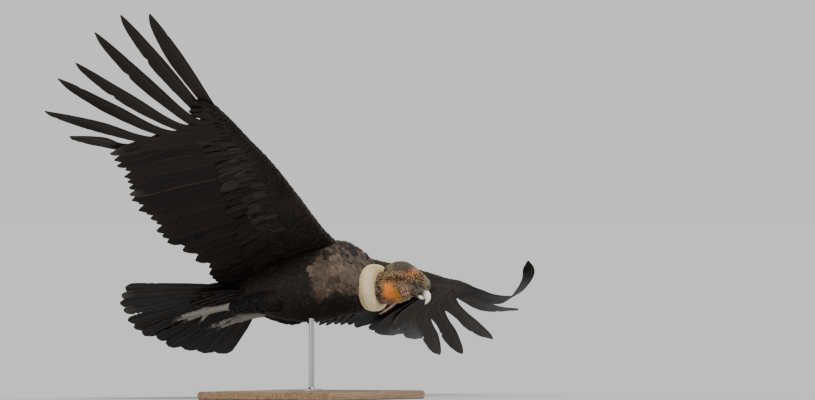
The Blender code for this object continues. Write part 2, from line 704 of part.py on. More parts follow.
def lid_ring(place, side):
    """The swollen rim of the eyelids, as a ring round the eye."""
    verts, faces = [], []
    around, section = 9, 4
    outward = Vector((side, -0.25, 0.18)).normalized()
    fore = Vector((0, -1, 0))
    fore = (fore - outward * fore.dot(outward)).normalized()
    up = outward.cross(fore)
    for i in range(around):
        turn = 2 * math.pi * i / around
        out = fore * math.cos(turn) * 1.12 + up * math.sin(turn) * 0.86
        for k in range(section):
            lean = 2 * math.pi * k / section
            verts.append(place + outward * 0.0030 + out * (0.0092 + 0.0030 * math.cos(lean))
                         + outward * (0.0030 * math.sin(lean)))
    for i in range(around):
        for k in range(section):
            a, b = i * section + k, i * section + (k + 1) % section
            c = ((i + 1) % around) * section
            faces.append([a, b, c + (k + 1) % section, c + k])
    return verts, faces


def side_points(side, points):
    return [Vector((side * x, y, z)) for x, y, z in points]


# Ridges of folded skin on one side of the head: points of the middle line and half widths
FOLDS = [
    ([(0.0185, -0.046, 0.010), (0.0265, -0.034, 0.022), (0.0330, -0.016, 0.026), (0.0405, 0.004, 0.022),
      (0.0460, 0.026, 0.012), (0.0495, 0.049, -0.003), (0.0490, 0.071, -0.015)],
     [0.0035, 0.0055, 0.0070, 0.0070, 0.0075, 0.0070, 0.0040]),
    ([(0.0320, -0.008, -0.014), (0.0365, -0.008, -0.028), (0.0300, -0.006, -0.042)],
     [0.0040, 0.0062, 0.0035]),
    ([(0.0405, 0.010, -0.010), (0.0450, 0.012, -0.028), (0.0400, 0.016, -0.048)],
     [0.0040, 0.0066, 0.0040]),
    ([(0.0190, -0.050, -0.018), (0.0240, -0.034, -0.026), (0.0250, -0.016, -0.038),
      (0.0240, 0.004, -0.052)], [0.0030, 0.0050, 0.0055, 0.0035]),
]


def make_head(parent, skins):
    """The skull with its folds, lids, nostrils and gape, then the comb, wattle and eyes."""
    flesh_skin, comb_skin, dark = skins
    rings = []
    for back, height, half, rise, drop, lean in HEAD:
        up = Vector((0, math.sin(math.radians(lean)), math.cos(math.radians(lean))))
        rings.append(oval_ring(Vector((0, back, height)), Vector((1, 0, 0)), up, half, rise, drop, 14))
    head = node("head", *loft(rings), flesh_skin, parent)
    extras = []
    for side in (-1, 1):
        eye = Vector((side * EYE_PLACE.x, EYE_PLACE.y, EYE_PLACE.z))
        extras.append(lid_ring(eye, side))
        for points, widths in FOLDS:
            extras.append(tube(side_points(side, points), widths, 5))
    pieces = [node(f"fold_{i}", *piece, flesh_skin, parent) for i, piece in enumerate(extras)]
    boolean(head, pieces, "UNION")
    cutters = []
    for side in (-1, 1):
        eye = Vector((side * EYE_PLACE.x, EYE_PLACE.y, EYE_PLACE.z))
        cutters.append(node("socket", *ball(eye, [EYE_RADIUS + GAP] * 3, 6, 9), dark, parent))
        nostril = Vector((side * 0.0200, -0.0490, 0.0020))
        cutters.append(node("nostril", *ball(nostril, (0.0060, 0.0050, 0.0024), 4, 8), dark, parent))
        gape = side_points(side, ((0.0200, -0.0620, -0.0150), (0.0235, -0.0460, -0.0155),
                                  (0.0330, -0.0240, -0.0175)))
        cutters.append(node("gape", *tube(gape, [0.0045, 0.0040, 0.0020], 6, 0.34), dark, parent))
    boolean(head, cutters, "DIFFERENCE")
    for wing, side in (("right", -1), ("left", 1)):
        eye = Vector((side * EYE_PLACE.x, EYE_PLACE.y, EYE_PLACE.z))
        node(f"eye_{wing}", *ball(eye, [EYE_RADIUS] * 3, 6, 9), dark, parent)

    rings = []
    for number, (back, foot, top, half) in enumerate(COMB):
        middle, tall = (foot + top) / 2, (top - foot) / 2
        wave = 1.0 + (0.10 if number % 2 else -0.06)
        rings.append([Vector((half * wave * across, back, middle + tall * over))
                      for across, over in ((1.1, -1.0), (1.35, -0.45), (0.95, 0.15), (0.95, 0.62),
                                           (0.50, 0.95), (-0.50, 0.95), (-0.95, 0.62), (-0.95, 0.15),
                                           (-1.35, -0.45), (-1.1, -1.0))])
    comb = node("comb", *loft(rings), comb_skin, parent)

    throat = []
    for t in spread(0.0, 1.0, 8):
        back = -0.030 + 0.078 * t
        root = -0.026 - 0.034 * t
        hang = 0.010 + 0.022 * math.sin(math.pi * min(1.0, t * 1.02)) ** 0.8
        wide = 0.0070 + 0.0050 * math.sin(math.pi * t) + (0.0012 if round(t * 7) % 2 else 0.0)
        throat.append([Vector((wide * across, back, root - (hang + 0.010) * down))
                       for across, down in ((0.8, 0.0), (1.0, 0.50), (0.70, 0.92), (-0.70, 0.92),
                                            (-1.0, 0.50), (-0.8, 0.0))])
    wattle = node("wattle", *loft(throat), comb_skin, parent)
    strip = [Vector((-0.004, 0.030, -0.070)), Vector((-0.006, 0.044, -0.094)),
             Vector((-0.008, 0.060, -0.118)), Vector((-0.010, 0.070, -0.134))]
    lappet = tube(strip, [0.0075, 0.0070, 0.0055, 0.0020], 6, 0.5, Vector((1, 0, 0)))
    boolean(wattle, [node("lappet", *lappet, comb_skin, parent)], "UNION")
    cut_clear(head, comb)
    cut_clear(head, wattle)
    return head, comb, wattle


def bill_half(rows, parent, name, skin, side_count=10):
    """A half of the bill from rows of back, height, half width, half height and lean of the section."""
    rings = []
    for back, height, half, tall, lean in smooth_rows(rows, 2):
        up = Vector((0, math.sin(lean), math.cos(lean)))
        rings.append(oval_ring(Vector((0, back, height)), Vector((1, 0, 0)), up, half, tall, tall,
                               side_count))
    return node(name, *loft(rings), skin, parent)


def make_bill(parent, horn, head, comb, wattle):
    """The hooked upper bill and the shorter lower one."""
    upper = bill_half([
        (-0.0500, 0.0010, 0.0165, 0.0140, 0.0), (-0.0640, 0.0020, 0.0158, 0.0135, 0.0),
        (-0.0780, 0.0010, 0.0142, 0.0130, -0.15), (-0.0900, -0.0050, 0.0115, 0.0115, -0.60),
        (-0.0960, -0.0150, 0.0082, 0.0090, -1.15), (-0.0965, -0.0260, 0.0050, 0.0056, -1.55),
        (-0.0945, -0.0355, 0.0016, 0.0018, -1.70)], parent, "bill_upper", horn)
    lower = bill_half([
        (-0.0500, -0.0210, 0.0150, 0.0062, 0.0), (-0.0640, -0.0215, 0.0135, 0.0066, 0.0),
        (-0.0740, -0.0210, 0.0100, 0.0056, 0.10), (-0.0810, -0.0200, 0.0050, 0.0030, 0.25)],
        parent, "bill_lower", horn)
    cut_clear(upper, comb)
    cut_clear(lower, wattle)
    cut_clear(lower, upper)
    cut_clear(head, upper)
    cut_clear(head, lower)
    return upper, lower


# Legs and feet


def toe(root, turn, down, length, parent, skin, thick):
    """A toe of rounded joints that ends in a blunt curved claw."""
    ahead = Vector((math.sin(turn), math.cos(turn), -math.sin(down)))
    points, radii = [], []
    joints = 2
    for i in range(2 * joints + 1):
        t = i / (2 * joints)
        points.append(root + ahead * (length * t) + Vector((0, 0, -0.006 * t * t)))
        radii.append(thick * (1.0 - 0.30 * t) * (1.0 if i % 2 == 0 else 0.82))
    last = points[-1]
    for t in (0.25, 1.0):
        points.append(last + ahead * (CLAW_LENGTH * t) + Vector((0, 0, -0.013 * t * t)))
        radii.append(thick * 0.62 * (1.0 - 0.88 * t))
    return node("toe", *tube(points, radii, 6), skin, parent)


def make_leg(wing, side, parent, skins, trunk, tail):
    """The feathered thigh, and the bare shank and toes laid back under the tail."""
    black, grey = skins
    hip = Vector((side * HIP.x, HIP.y, HIP.z))
    knee = Vector((side * KNEE.x, KNEE.y, KNEE.z))
    ankle = ANKLES[wing]
    points = [hip, hip.lerp(knee, 0.6), knee, knee.lerp(ankle, 0.35), knee.lerp(ankle, 0.72), ankle]
    thigh = node(f"{wing}_thigh", *tube(points, THIGH_HALF_WIDTHS, 10), black, parent)
    start = ankle - Vector((0, 0.022, 0))
    end = ankle + Vector((0, TARSUS_LENGTH - 0.010, 0.004))
    shank = [start.lerp(end, t) for t in (0.0, 0.12, 0.30, 0.55, 0.80, 1.0, 1.12)]
    foot = node(f"{wing}_foot", *tube(shank, SHANK_HALF_WIDTHS, 8), grey, parent)
    toes = []
    for kind, turn, down in (("inner", -0.20, 0.03), ("middle", 0.0, 0.0), ("outer", 0.20, 0.02)):
        turn *= side
        root = end + Vector((math.sin(turn) * 0.030, -0.004, -0.001))
        toes.append(toe(root, turn, down, TOE_LENGTHS[kind], parent, grey, TOE_HALF_WIDTH))
    hind_root = end + Vector((-side * 0.006, -0.010, -0.006))
    toes.append(toe(hind_root, -0.5 * side, 0.16, TOE_LENGTHS["hind"], parent, grey, HIND_TOE_HALF_WIDTH))
    boolean(foot, toes, "UNION")
    cut_clear(thigh, trunk)
    cut_clear(thigh, tail)
    cut_clear(foot, trunk)
    cut_clear(foot, thigh)
    cut_clear(foot, tail)


# Stand


def turned(name, profile, count, skin):
    """A solid turned about the Z axis from its (radius, height) outline."""
    rings = [[Vector((radius * math.cos(2 * math.pi * k / count), radius * math.sin(2 * math.pi * k / count),
                      height)) for k in range(count)] for radius, height in profile]
    return node(name, *loft(rings), skin)


def make_stand(wood, steel, trunk):
    """A flat bevelled board and one rod that stands in it and ends in a socket of the breast."""
    layers = [(0.0, BASE_BEVEL), (BASE_BEVEL, 0.0), (BASE_THICKNESS - BASE_BEVEL, 0.0),
              (BASE_THICKNESS, BASE_BEVEL)]
    rings = []
    for height, inset in layers:
        radius = BASE_CORNER - inset
        ring = []
        for cx, cy, start in ((1, 1, 0), (-1, 1, 90), (-1, -1, 180), (1, -1, 270)):
            for k in range(5):
                turn = math.radians(start + 90 * k / 4)
                ring.append(Vector((cx * (BASE_LENGTH / 2 - BASE_CORNER) + radius * math.cos(turn),
                                    cy * (BASE_WIDTH / 2 - BASE_CORNER) + radius * math.sin(turn), height)))
        rings.append(ring)
    node("stand_base", *loft(rings), wood)
    count = 20
    foot = BASE_THICKNESS + GAP
    top = BODY_HEIGHT - BREAST_DROP + ROD_INTO_BODY
    turned("stand_rod", [(FLANGE_RADIUS, foot), (FLANGE_RADIUS, foot + FLANGE_THICKNESS),
                         (ROD_RADIUS * 1.5, foot + FLANGE_THICKNESS), (ROD_RADIUS, foot + 0.014),
                         (ROD_RADIUS, top - ROD_CHAMFER), (ROD_RADIUS - ROD_CHAMFER, top)], count, steel)
    socket = turned("socket", [(ROD_RADIUS + GAP, 2 * BASE_THICKNESS), (ROD_RADIUS + GAP, top + GAP)],
                    count, steel)
    boolean(trunk, [socket], "DIFFERENCE")


def merged(mesh, flat_angle, sliver):
    """The mesh with its flat faces joined and its slivers merged, as triangles."""
    shape = bmesh.new()
    shape.from_mesh(mesh)
    if flat_angle:
        bmesh.ops.dissolve_limit(shape, angle_limit=flat_angle, verts=shape.verts, edges=shape.edges)
        bmesh.ops.triangulate(shape, faces=shape.faces, ngon_method="BEAUTY")
    bmesh.ops.remove_doubles(shape, verts=shape.verts, dist=sliver)
    bmesh.ops.dissolve_degenerate(shape, dist=sliver, edges=shape.edges)
    bmesh.ops.triangulate(shape, faces=shape.faces)
    return shape


def finish_meshes():
    """Takes out what the unions leave as far as each mesh stays closed, and shades it smooth."""
    for obj in bpy.data.objects:
        if obj.type != "MESH":
            continue
        for flat_angle, sliver in MERGES:
            shape = merged(obj.data, flat_angle, sliver)
            closed = all(edge.is_manifold for edge in shape.edges)
            if closed:
                shape.to_mesh(obj.data)
            shape.free()
            if closed:
                break
        obj.data.shade_smooth()
        obj.data.set_sharp_from_angle(angle=SHARP_ANGLE)


def main():
    random.seed(11)
    clear_scene()
    black = material("black_plumage", (0.012, 0.011, 0.012), 0.55)
    brown = material("brown_plumage", (0.060, 0.047, 0.038), 0.70)
    white = material("white_down", (0.84, 0.78, 0.66), 0.90)
    bare = material("bare_skin", (0.26, 0.19, 0.14), 0.55)
    comb = material("comb_skin", (0.17, 0.14, 0.11), 0.50)
    horn = material("ivory_horn", (0.76, 0.72, 0.62), 0.35)
    grey = material("leg_scales", (0.42, 0.41, 0.38), 0.65)
    eye = material("eye", (0.045, 0.020, 0.010), 0.08)
    wood = material("stand_wood", (0.30, 0.21, 0.13), 0.45)
    steel = material("stand_steel", (0.50, 0.50, 0.50), 0.30, 1.0)

    pose = bpy.data.objects.new("flight_pose", None)
    bpy.context.scene.collection.objects.link(pose)
    pose.location = (BODY_ASIDE, -BODY_AHEAD, BODY_HEIGHT)
    pose.rotation_mode = "YXZ"
    pose.rotation_euler = (-PITCH, BANK, 0.0)
    bpy.context.view_layer.update()

    head_pose = bpy.data.objects.new("head_pose", None)
    bpy.context.scene.collection.objects.link(head_pose)
    head_pose.parent = pose
    turn = (Matrix.Rotation(HEAD_DOWN, 4, "X") @ Matrix.Rotation(HEAD_BANK, 4, "Y")).to_3x3()
    level = pose.matrix_world.to_3x3().inverted() @ turn
    head_turn = Matrix.Translation((0, HEAD_BACK, HEAD_HEIGHT)) @ level.to_4x4()
    head_pose.matrix_local = head_turn
    bpy.context.view_layer.update()

    trunk = make_trunk(pose, brown)
    arms = [make_wing("right", -1, pose, black, trunk), make_wing("left", 1, pose, black, trunk)]
    tail = make_tail(pose, black, [trunk] + arms)
    neck = make_neck(pose, head_turn, bare, trunk)
    make_ruff(pose, pose.matrix_world, white, trunk, neck)
    head, crest, wattle = make_head(head_pose, (bare, comb, eye))
    cut_clear(neck, crest)
    cut_clear(neck, wattle)
    cut_clear(head, neck)
    make_bill(head_pose, horn, head, crest, wattle)
    make_leg("right", -1, pose, (black, grey), trunk, tail)
    make_leg("left", 1, pose, (black, grey), trunk, tail)
    make_stand(wood, steel, trunk)
    finish_meshes()


main()
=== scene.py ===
"""Andean condor, adult male, soaring in a banked turn: the looks of the life-size model.

Everything of the bird is built level in its own frame (X to its left, Y back to the tail, Z up, origin
in the middle of the body at the shoulders), and each piece then takes the pose of the flight.
"""
import itertools
import logging
from collections.abc import Callable, Sequence
from dataclasses import dataclass, field
from enum import Enum
from math import atan2, cos, pi, prod, radians, sin

import bmesh
import bpy
import numpy as np
from mathutils import Euler, Matrix, Vector


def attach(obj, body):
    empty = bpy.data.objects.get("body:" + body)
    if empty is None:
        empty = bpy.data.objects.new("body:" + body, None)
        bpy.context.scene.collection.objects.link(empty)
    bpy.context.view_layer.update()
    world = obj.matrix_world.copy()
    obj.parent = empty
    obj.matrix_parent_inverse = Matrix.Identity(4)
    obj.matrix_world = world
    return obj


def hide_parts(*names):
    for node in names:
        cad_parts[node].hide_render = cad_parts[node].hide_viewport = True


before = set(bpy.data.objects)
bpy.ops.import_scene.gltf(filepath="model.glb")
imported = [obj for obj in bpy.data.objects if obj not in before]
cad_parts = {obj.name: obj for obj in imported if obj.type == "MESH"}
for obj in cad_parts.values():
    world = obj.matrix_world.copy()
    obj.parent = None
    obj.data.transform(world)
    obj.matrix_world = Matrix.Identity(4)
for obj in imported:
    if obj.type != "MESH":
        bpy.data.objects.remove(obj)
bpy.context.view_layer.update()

Array = np.ndarray
Material = bpy.types.Material
Mesh = bpy.types.Mesh
Random = np.random.Generator
Colour = tuple[float, float, float]
Place = tuple[float, float, float]
Rows = tuple[tuple[float, ...], ...]
Marks = dict[str, Array]
Shaft = Callable[[Array], Array]
Edge = Callable[[Array, Array], Array]

log = logging.getLogger("condor")

# Pose of the bird in the air, and of the head against the level
BODY_PLACE = Vector((0.04, -0.115, 0.43))
BANK = radians(20.7)
PITCH = radians(11.2)
HEAD_DOWN = radians(27.0)
HEAD_BANK = radians(5.0)
HEAD_PLACE = Vector((0.0, -0.262, -0.068))
POSE = Matrix.Translation(BODY_PLACE) @ Euler((-PITCH, BANK, 0.0), "YXZ").to_matrix().to_4x4()
LEVEL = POSE.to_3x3().inverted()
HEAD_TURN = Matrix.Translation(HEAD_PLACE) @ (
    LEVEL @ (Matrix.Rotation(HEAD_DOWN, 3, "X") @ Matrix.Rotation(HEAD_BANK, 3, "Y"))).to_4x4()

# Size of one tuft's patch on the bake map, and the room that its map leaves at each end
PATCH = 0.003
MARGIN = 0.01

UP = np.array((0.0, 0.0, 1.0))
LEFTWARD = np.array((1.0, 0.0, 0.0))


# Curves and noise


@dataclass(frozen=True)
class Profile:
    """A smooth curve through (place, value) stops, flat beyond its ends."""

    stops: Rows

    def __call__(self, place: Array | float) -> Array:
        """Values of the curve.

        Args:
            place: Places along the curve, in any shape.

        Returns:
            The value at each place, in the same shape.
        """
        xs = np.array([stop[0] for stop in self.stops])
        vs = np.array([stop[1] for stop in self.stops])
        x = np.clip(np.asarray(place, float), xs[0], xs[-1])
        i = np.clip(np.searchsorted(xs, x, side="right") - 1, 0, len(xs) - 2)
        before, after = np.maximum(i - 1, 0), np.minimum(i + 2, len(xs) - 1)
        slope0 = (vs[i + 1] - vs[before]) / (xs[i + 1] - xs[before])
        slope1 = (vs[after] - vs[i]) / (xs[after] - xs[i])
        span = xs[i + 1] - xs[i]
        t = (x - xs[i]) / span
        return (vs[i] * (1 + 2 * t) * (1 - t) ** 2 + vs[i + 1] * t * t * (3 - 2 * t)
                + span * (slope0 * t * (1 - t) ** 2 - slope1 * t * t * (1 - t)))

    def __mul__(self, by: float) -> "Profile":
        """The curve with its values times a number."""
        return Profile(tuple((place, value * by) for place, value in self.stops))


@dataclass(frozen=True)
class Line:
    """A smooth line in space through points, with 0 and 1 at its ends."""

    points: Sequence[Sequence[float]]

    def __call__(self, share: Array | float) -> Array:
        """Places on the line for shares of its length, with one more axis of length 3."""
        return np.stack([even(axis)(share) for axis in zip(*self.points)], -1)


def curves(places: Sequence[float], *rows: Sequence[float]) -> tuple[Profile, ...]:
    """One curve through each row of values, all at the same places."""
    return tuple(Profile(tuple(zip(places, row))) for row in rows)


def even(values: Sequence[float]) -> Profile:
    """A curve through values at equal steps from 0 to 1."""
    return Profile(tuple(zip(np.linspace(0, 1, len(values)), values)))


def scattered(cells: Array, seed: int) -> Array:
    """A fixed random number between -1 and 1 for each cell of a grid.

    Args:
        cells: Whole numbers, with three of them on the last axis.
        seed: Which set of random numbers.

    Returns:
        One number for each cell.
    """
    mixed = cells[..., 0] * 73856093 ^ cells[..., 1] * 19349663 ^ cells[..., 2] * 83492791
    mixed = (mixed + seed * 7919) & 0xFFFFFFFF
    mixed = ((mixed ^ (mixed >> 15)) * 0x2C1B3C6D) & 0xFFFFFFFF
    mixed = ((mixed ^ (mixed >> 12)) * 0x297A2D39) & 0xFFFFFFFF
    return ((mixed ^ (mixed >> 15)) & 0xFFFF) / 32767.5 - 1.0


def noise(points: Array, size: float, seed: int) -> Array:
    """Smooth noise between -1 and 1.

    Args:
        points: Places in space.
        size: Size of the noise's grain in metres.
        seed: Which noise.

    Returns:
        One number for each place.
    """
    cell = points / size
    low = np.floor(cell).astype(np.int64)
    part = cell - low
    part = part * part * (3 - 2 * part)
    total = np.zeros(points.shape[:-1])
    for corner in itertools.product((0, 1), repeat=3):
        weight = np.prod(np.where(np.array(corner) == 1, part, 1 - part), -1)
        total += weight * scattered(low + np.array(corner), seed)
    return total


def lumps(points: Array, size: float, seed: int, stretch: Place = (1, 1, 1), steep: float = 2.0) -> Array:
    """Lumps that are parted by crevices.

    Args:
        points: Places in space.
        size: Mean distance between the lumps in metres.
        seed: Which scatter.
        stretch: Lumps along each axis, against one for each size.
        steep: How fast a lump rises from its crevice.

    Returns:
        0 in a crevice and 1 on a lump.
    """
    cell = points * np.array(stretch) / size
    low = np.floor(cell).astype(np.int64)
    first = np.full(points.shape[:-1], 9.0)
    second = first.copy()
    for shift in itertools.product((-1, 0, 1), repeat=3):
        at = low + np.array(shift)
        centre = at + 0.5 + 0.42 * np.stack([scattered(at, seed + k) for k in range(3)], -1)
        far = np.linalg.norm(centre - cell, axis=-1)
        second = np.minimum(second, np.maximum(first, far))
        first = np.minimum(first, far)
    return np.clip((second - first) * steep, 0, 1)


def raised(lump: Array) -> Array:
    """Heights of rounded lumps about their middle."""
    return np.sqrt(lump) - 0.5


def unit(vectors: Array) -> Array:
    """The vectors at length 1."""
    return vectors / np.maximum(np.linalg.norm(vectors, axis=-1, keepdims=True), 1e-12)


def bell(value: Array, centre: float, spread: float) -> Array:
    """A bell curve of height 1 over the values."""
    return np.exp(-((value - centre) / spread) ** 2)


def step(value: Array, low: float, high: float) -> Array:
    """0 below low, 1 above high and smooth between them."""
    t = np.clip((value - low) / (high - low), 0, 1)
    return t * t * (3 - 2 * t)


def turn_ring(count: int, start: float = 0.5) -> Array:
    """Angles of equal steps round a ring, the first at a share of a step."""
    return 2 * pi * (np.arange(count) + start) / count


def staggered(number: int, row: int, rng: Random) -> Array:
    """Uneven turns of the feathers in a row round a limb, half a step on in every second row."""
    return (np.arange(number) + 0.5 * (row % 2) + rng.uniform(-0.3, 0.3, number)) / number * 2 * pi


def moved(points: Array, turn: Matrix) -> Array:
    """Places in space, carried by a 4 by 4 matrix."""
    grid = np.array(turn)
    return points @ grid[:3, :3].T + grid[:3, 3]


# Shaders


class Socket:
    """One output of a shader node, with arithmetic that adds Math nodes."""

    def __init__(self, shader: "Shader", output: bpy.types.NodeSocket) -> None:
        """Wraps an output of one of the shader's nodes."""
        self.shader = shader
        self.output = output

    def maths(self, operation: str, *others: "Socket | float") -> "Socket":
        """The output of a Math node on this value and others."""
        return self.shader.add("ShaderNodeMath", {"operation": operation}, dict(enumerate((self, *others))))

    def __add__(self, other: "Socket | float") -> "Socket":
        """This value plus the other."""
        return self.maths("ADD", other)

    def __sub__(self, other: "Socket | float") -> "Socket":
        """This value less the other."""
        return self.maths("SUBTRACT", other)

    def __rsub__(self, other: float) -> "Socket":
        """The other value less this one."""
        return (self * -1.0) + other

    def __mul__(self, other: "Socket | float") -> "Socket":
        """This value times the other."""
        return self.maths("MULTIPLY", other)

    __radd__ = __add__
    __rmul__ = __mul__

    def size(self) -> "Socket":
        """This value without its sign."""
        return self.maths("ABSOLUTE")

    def between(self, low: float, high: float) -> "Socket":
        """A mask of 0 where the value is below low, 1 above high and smooth between them."""
        settings = {"interpolation_type": "SMOOTHSTEP", "clamp": True}
        return self.shader.add("ShaderNodeMapRange", settings, {0: self, 1: low, 2: high, 3: 0.0, 4: 1.0})


class Shader:
    """The node tree of one material, written as expressions."""

    def __init__(self, name: str, **constants: float | Colour) -> None:
        """Starts a material.

        Args:
            name: The material's name.
            constants: Values of the surface shader's own sockets, with _ for each space.
        """
        self.material = bpy.data.materials.new(name)
        self.material.use_nodes = True
        self.tree = self.material.node_tree
        self.surface = self.tree.nodes["Principled BSDF"]
        for name, value in constants.items():
            self.surface.inputs[name.replace("_", " ")].default_value = value

    def add(self, kind: str, settings: dict | None = None, inputs: dict | None = None,
            output: int = 0) -> Socket:
        """Adds a node.

        Args:
            kind: The node's type.
            settings: Its settings, set first.
            inputs: Values or links of its sockets, by name or number.
            output: Which of its outputs is wanted.

        Returns:
            That output.
        """
        node = self.tree.nodes.new(kind)
        for name, value in (settings or {}).items():
            setattr(node, name, value)
        for name, value in (inputs or {}).items():
            self.feed(node.inputs[name], value)
        return Socket(self, node.outputs[output])

    def feed(self, target: bpy.types.NodeSocket, value: "Socket | float | Colour") -> None:
        """Links or sets a socket.

        Args:
            target: The socket to feed.
            value: A link, a number, or a colour or vector.
        """
        if isinstance(value, Socket):
            self.tree.links.new(value.output, target)
        elif target.type == "RGBA":
            target.default_value = (*value, 1.0)
        else:
            target.default_value = value

    def attribute(self, name: str) -> Socket:
        """The number that the mesh holds under a name."""
        return self.add("ShaderNodeAttribute", {"attribute_name": name}, output=2)

    def vane(self) -> tuple[Socket, Socket]:
        """Places across and along a feather, each from 0 to 1."""
        web = self.add("ShaderNodeUVMap", {"uv_map": "vane"})
        return tuple(self.add("ShaderNodeSeparateXYZ", {}, {0: web}, axis) for axis in (0, 1))

    def place(self) -> Socket:
        """Places on the object, in metres."""
        return self.add("ShaderNodeTexCoord", output=3)

    def joined(self, x: Socket | float, y: Socket | float, z: Socket | float) -> Socket:
        """A vector from three numbers."""
        return self.add("ShaderNodeCombineXYZ", inputs={0: x, 1: y, 2: z})

    def grain(self, scale: float, detail: float = 2.0, at: Socket | None = None) -> Socket:
        """Noise from 0 to 1, read at the place on the object if not at another vector."""
        inputs = {"Vector": at or self.place(), "Scale": scale, "Detail": detail}
        return self.add("ShaderNodeTexNoise", {}, inputs)

    def mix(self, share: Socket | float, first: Socket | Colour, second: Socket | Colour) -> Socket:
        """A colour between two: the first at a share of 0 and the second at 1."""
        return self.add("ShaderNodeMix", {"data_type": "RGBA"}, {0: share, 6: first, 7: second}, 2)

    def finish(self, colour: Socket | Colour, roughness: Socket | float, height: Socket | None = None,
               depth: float = 0.001) -> Material:
        """Feeds the surface.

        Args:
            colour: Its base colour.
            roughness: Its roughness.
            height: Heights for the bump, from 0 to 1.
            depth: What a height of 1 stands for, in metres.

        Returns:
            The finished material.
        """
        self.feed(self.surface.inputs["Base Color"], colour)
        self.feed(self.surface.inputs["Roughness"], roughness)
        if height is not None:
            bump = self.add("ShaderNodeBump", {}, {"Height": height, "Distance": depth, "Strength": 1.0})
            self.feed(self.surface.inputs["Normal"], bump)
        return self.material


# Finishes


@dataclass(frozen=True)
class Plumage:
    """Dark feathers with fine barbs, a shaft and worn edges, with brown and white ones among them."""

    name: str = "plumage"
    dark: Colour = (0.0032, 0.0028, 0.0032)
    brown: Colour = (0.135, 0.092, 0.064)
    white: Colour = (0.62, 0.6, 0.55)
    edge: Colour = (0.03, 0.021, 0.015)
    glint: Colour = (0.22, 0.19, 0.155)
    shaft: Colour = (0.085, 0.064, 0.046)

    def make(self) -> Material:
        """Builds the material.

        Returns:
            The material.
        """
        shader = Shader(self.name, Specular_IOR_Level=0.2)
        across, along = shader.vane()
        tone, pale, seed = (shader.attribute(name) for name in ("tone", "pale", "seed"))
        side = (across - 0.5).size()
        comb = along * 46.0 - side * 16.0
        barbs = shader.grain(1.0, 3.0, shader.joined(comb, side * 1.5, seed * 40.0))
        cloud = shader.grain(14.0, 3.0)
        colour = shader.mix(tone, self.dark, self.brown)
        colour = shader.mix((barbs - 0.42) * 0.45 * (cloud + 0.2) * (1.0 - tone), colour, self.edge)
        rim = side.between(0.36, 0.5) * (1.0 - pale * 0.8)
        tip = along.between(0.86, 1.0)
        worn = (rim * 0.42 + tip * 0.5) * (barbs + 0.15)
        colour = shader.mix(worn, colour, self.edge)
        colour = shader.mix(pale * (barbs * 0.25 + 0.82), colour, self.white)
        glint = seed.between(0.9, 0.93) * (tip + rim * 0.5) * (1.0 - pale) * 0.2
        colour = shader.mix(glint, colour, self.glint)
        rachis = (1.0 - side.between(0.008, 0.03)) * (1.0 - along.between(0.8, 1.0))
        colour = shader.mix(rachis * 0.55, colour, self.shaft)
        rough = barbs * 0.22 + cloud * 0.12 + 0.4
        return shader.finish(colour, rough, barbs * 0.6 + rachis * 0.8, 0.0006)


@dataclass(frozen=True)
class Down:
    """Cream-white down of the ruff."""

    name: str = "white_down"
    light: Colour = (0.98, 0.885, 0.635)
    shade: Colour = (0.83, 0.67, 0.41)

    def make(self) -> Material:
        """Builds the material.

        Returns:
            The material.
        """
        shader = Shader(self.name, Specular_IOR_Level=0.2, Subsurface_Weight=0.12,
                        Subsurface_Radius=(0.006, 0.005, 0.004), Subsurface_Scale=0.6)
        across, along = shader.vane()
        seed = shader.attribute("seed")
        strands = shader.grain(1.0, 2.0, shader.joined(across * 14.0, along * 2.0, seed * 50.0))
        # Painted shade: each lock darkens towards its root, where the locks shade one another.
        depth = 1.0 - along.between(0.0, 0.55)
        colour = shader.mix(depth * 0.55 + (strands - 0.5) * 0.35, self.light, self.shade)
        colour = shader.mix(seed.between(0.55, 1.0) * 0.22, colour, self.shade)
        return shader.finish(colour, strands * 0.15 + 0.8, strands, 0.0004)


@dataclass(frozen=True)
class Hide:
    """The one skin: bare and coloured on the head and neck, dark or white where feathers cover it."""

    name: str = "skin"
    crease_shade: Colour = (0.01, 0.0065, 0.0045)
    tan: Colour = (0.245, 0.148, 0.072)
    umber: Colour = (0.125, 0.08, 0.045)
    orange: Colour = (0.76, 0.215, 0.016)
    olive: Colour = (0.34, 0.235, 0.024)
    pink: Colour = (0.42, 0.25, 0.165)
    grey: Colour = (0.07, 0.056, 0.044)
    lobe: Colour = (0.15, 0.13, 0.066)
    dark: Colour = (0.004, 0.0035, 0.004)
    brown: Colour = (0.062, 0.048, 0.038)
    white: Colour = (0.72, 0.64, 0.5)

    def make(self) -> Material:
        """Builds the material.

        Returns:
            The material.
        """
        shader = Shader(self.name, Specular_IOR_Level=0.3, Subsurface_Weight=0.05,
                        Subsurface_Radius=(0.006, 0.002, 0.001), Subsurface_Scale=0.4)
        pores = shader.grain(900.0, 2.0)
        cloud = shader.grain(70.0, 3.0)
        colour = shader.mix(cloud.between(0.35, 0.65), self.tan, self.umber)
        for name, tint in (("grey", self.grey), ("lobe", self.lobe), ("pink", self.pink),
                           ("olive", self.olive), ("orange", self.orange)):
            colour = shader.mix(shader.attribute(name) * (cloud * 0.6 + 0.66), colour, tint)
        # Painted shade: the bare skin darkens in its creases, in the gape and in the nostrils.
        crease_shade = shader.attribute("crease_shade")
        colour = shader.mix(crease_shade, colour, self.crease_shade)
        colour = shader.mix((pores - 0.55) * 0.5, colour, self.grey)
        coat = shader.mix(shader.attribute("tone"), self.dark, self.brown)
        coat = shader.mix(shader.attribute("pale"), coat, self.white)
        bare = shader.attribute("bare")
        colour = shader.mix(bare, coat, colour)
        rough = cloud * 0.16 + crease_shade * 0.2 + 0.84 - bare * 0.38
        return shader.finish(colour, rough, pores * 0.35 + cloud * 0.65, 0.0005)


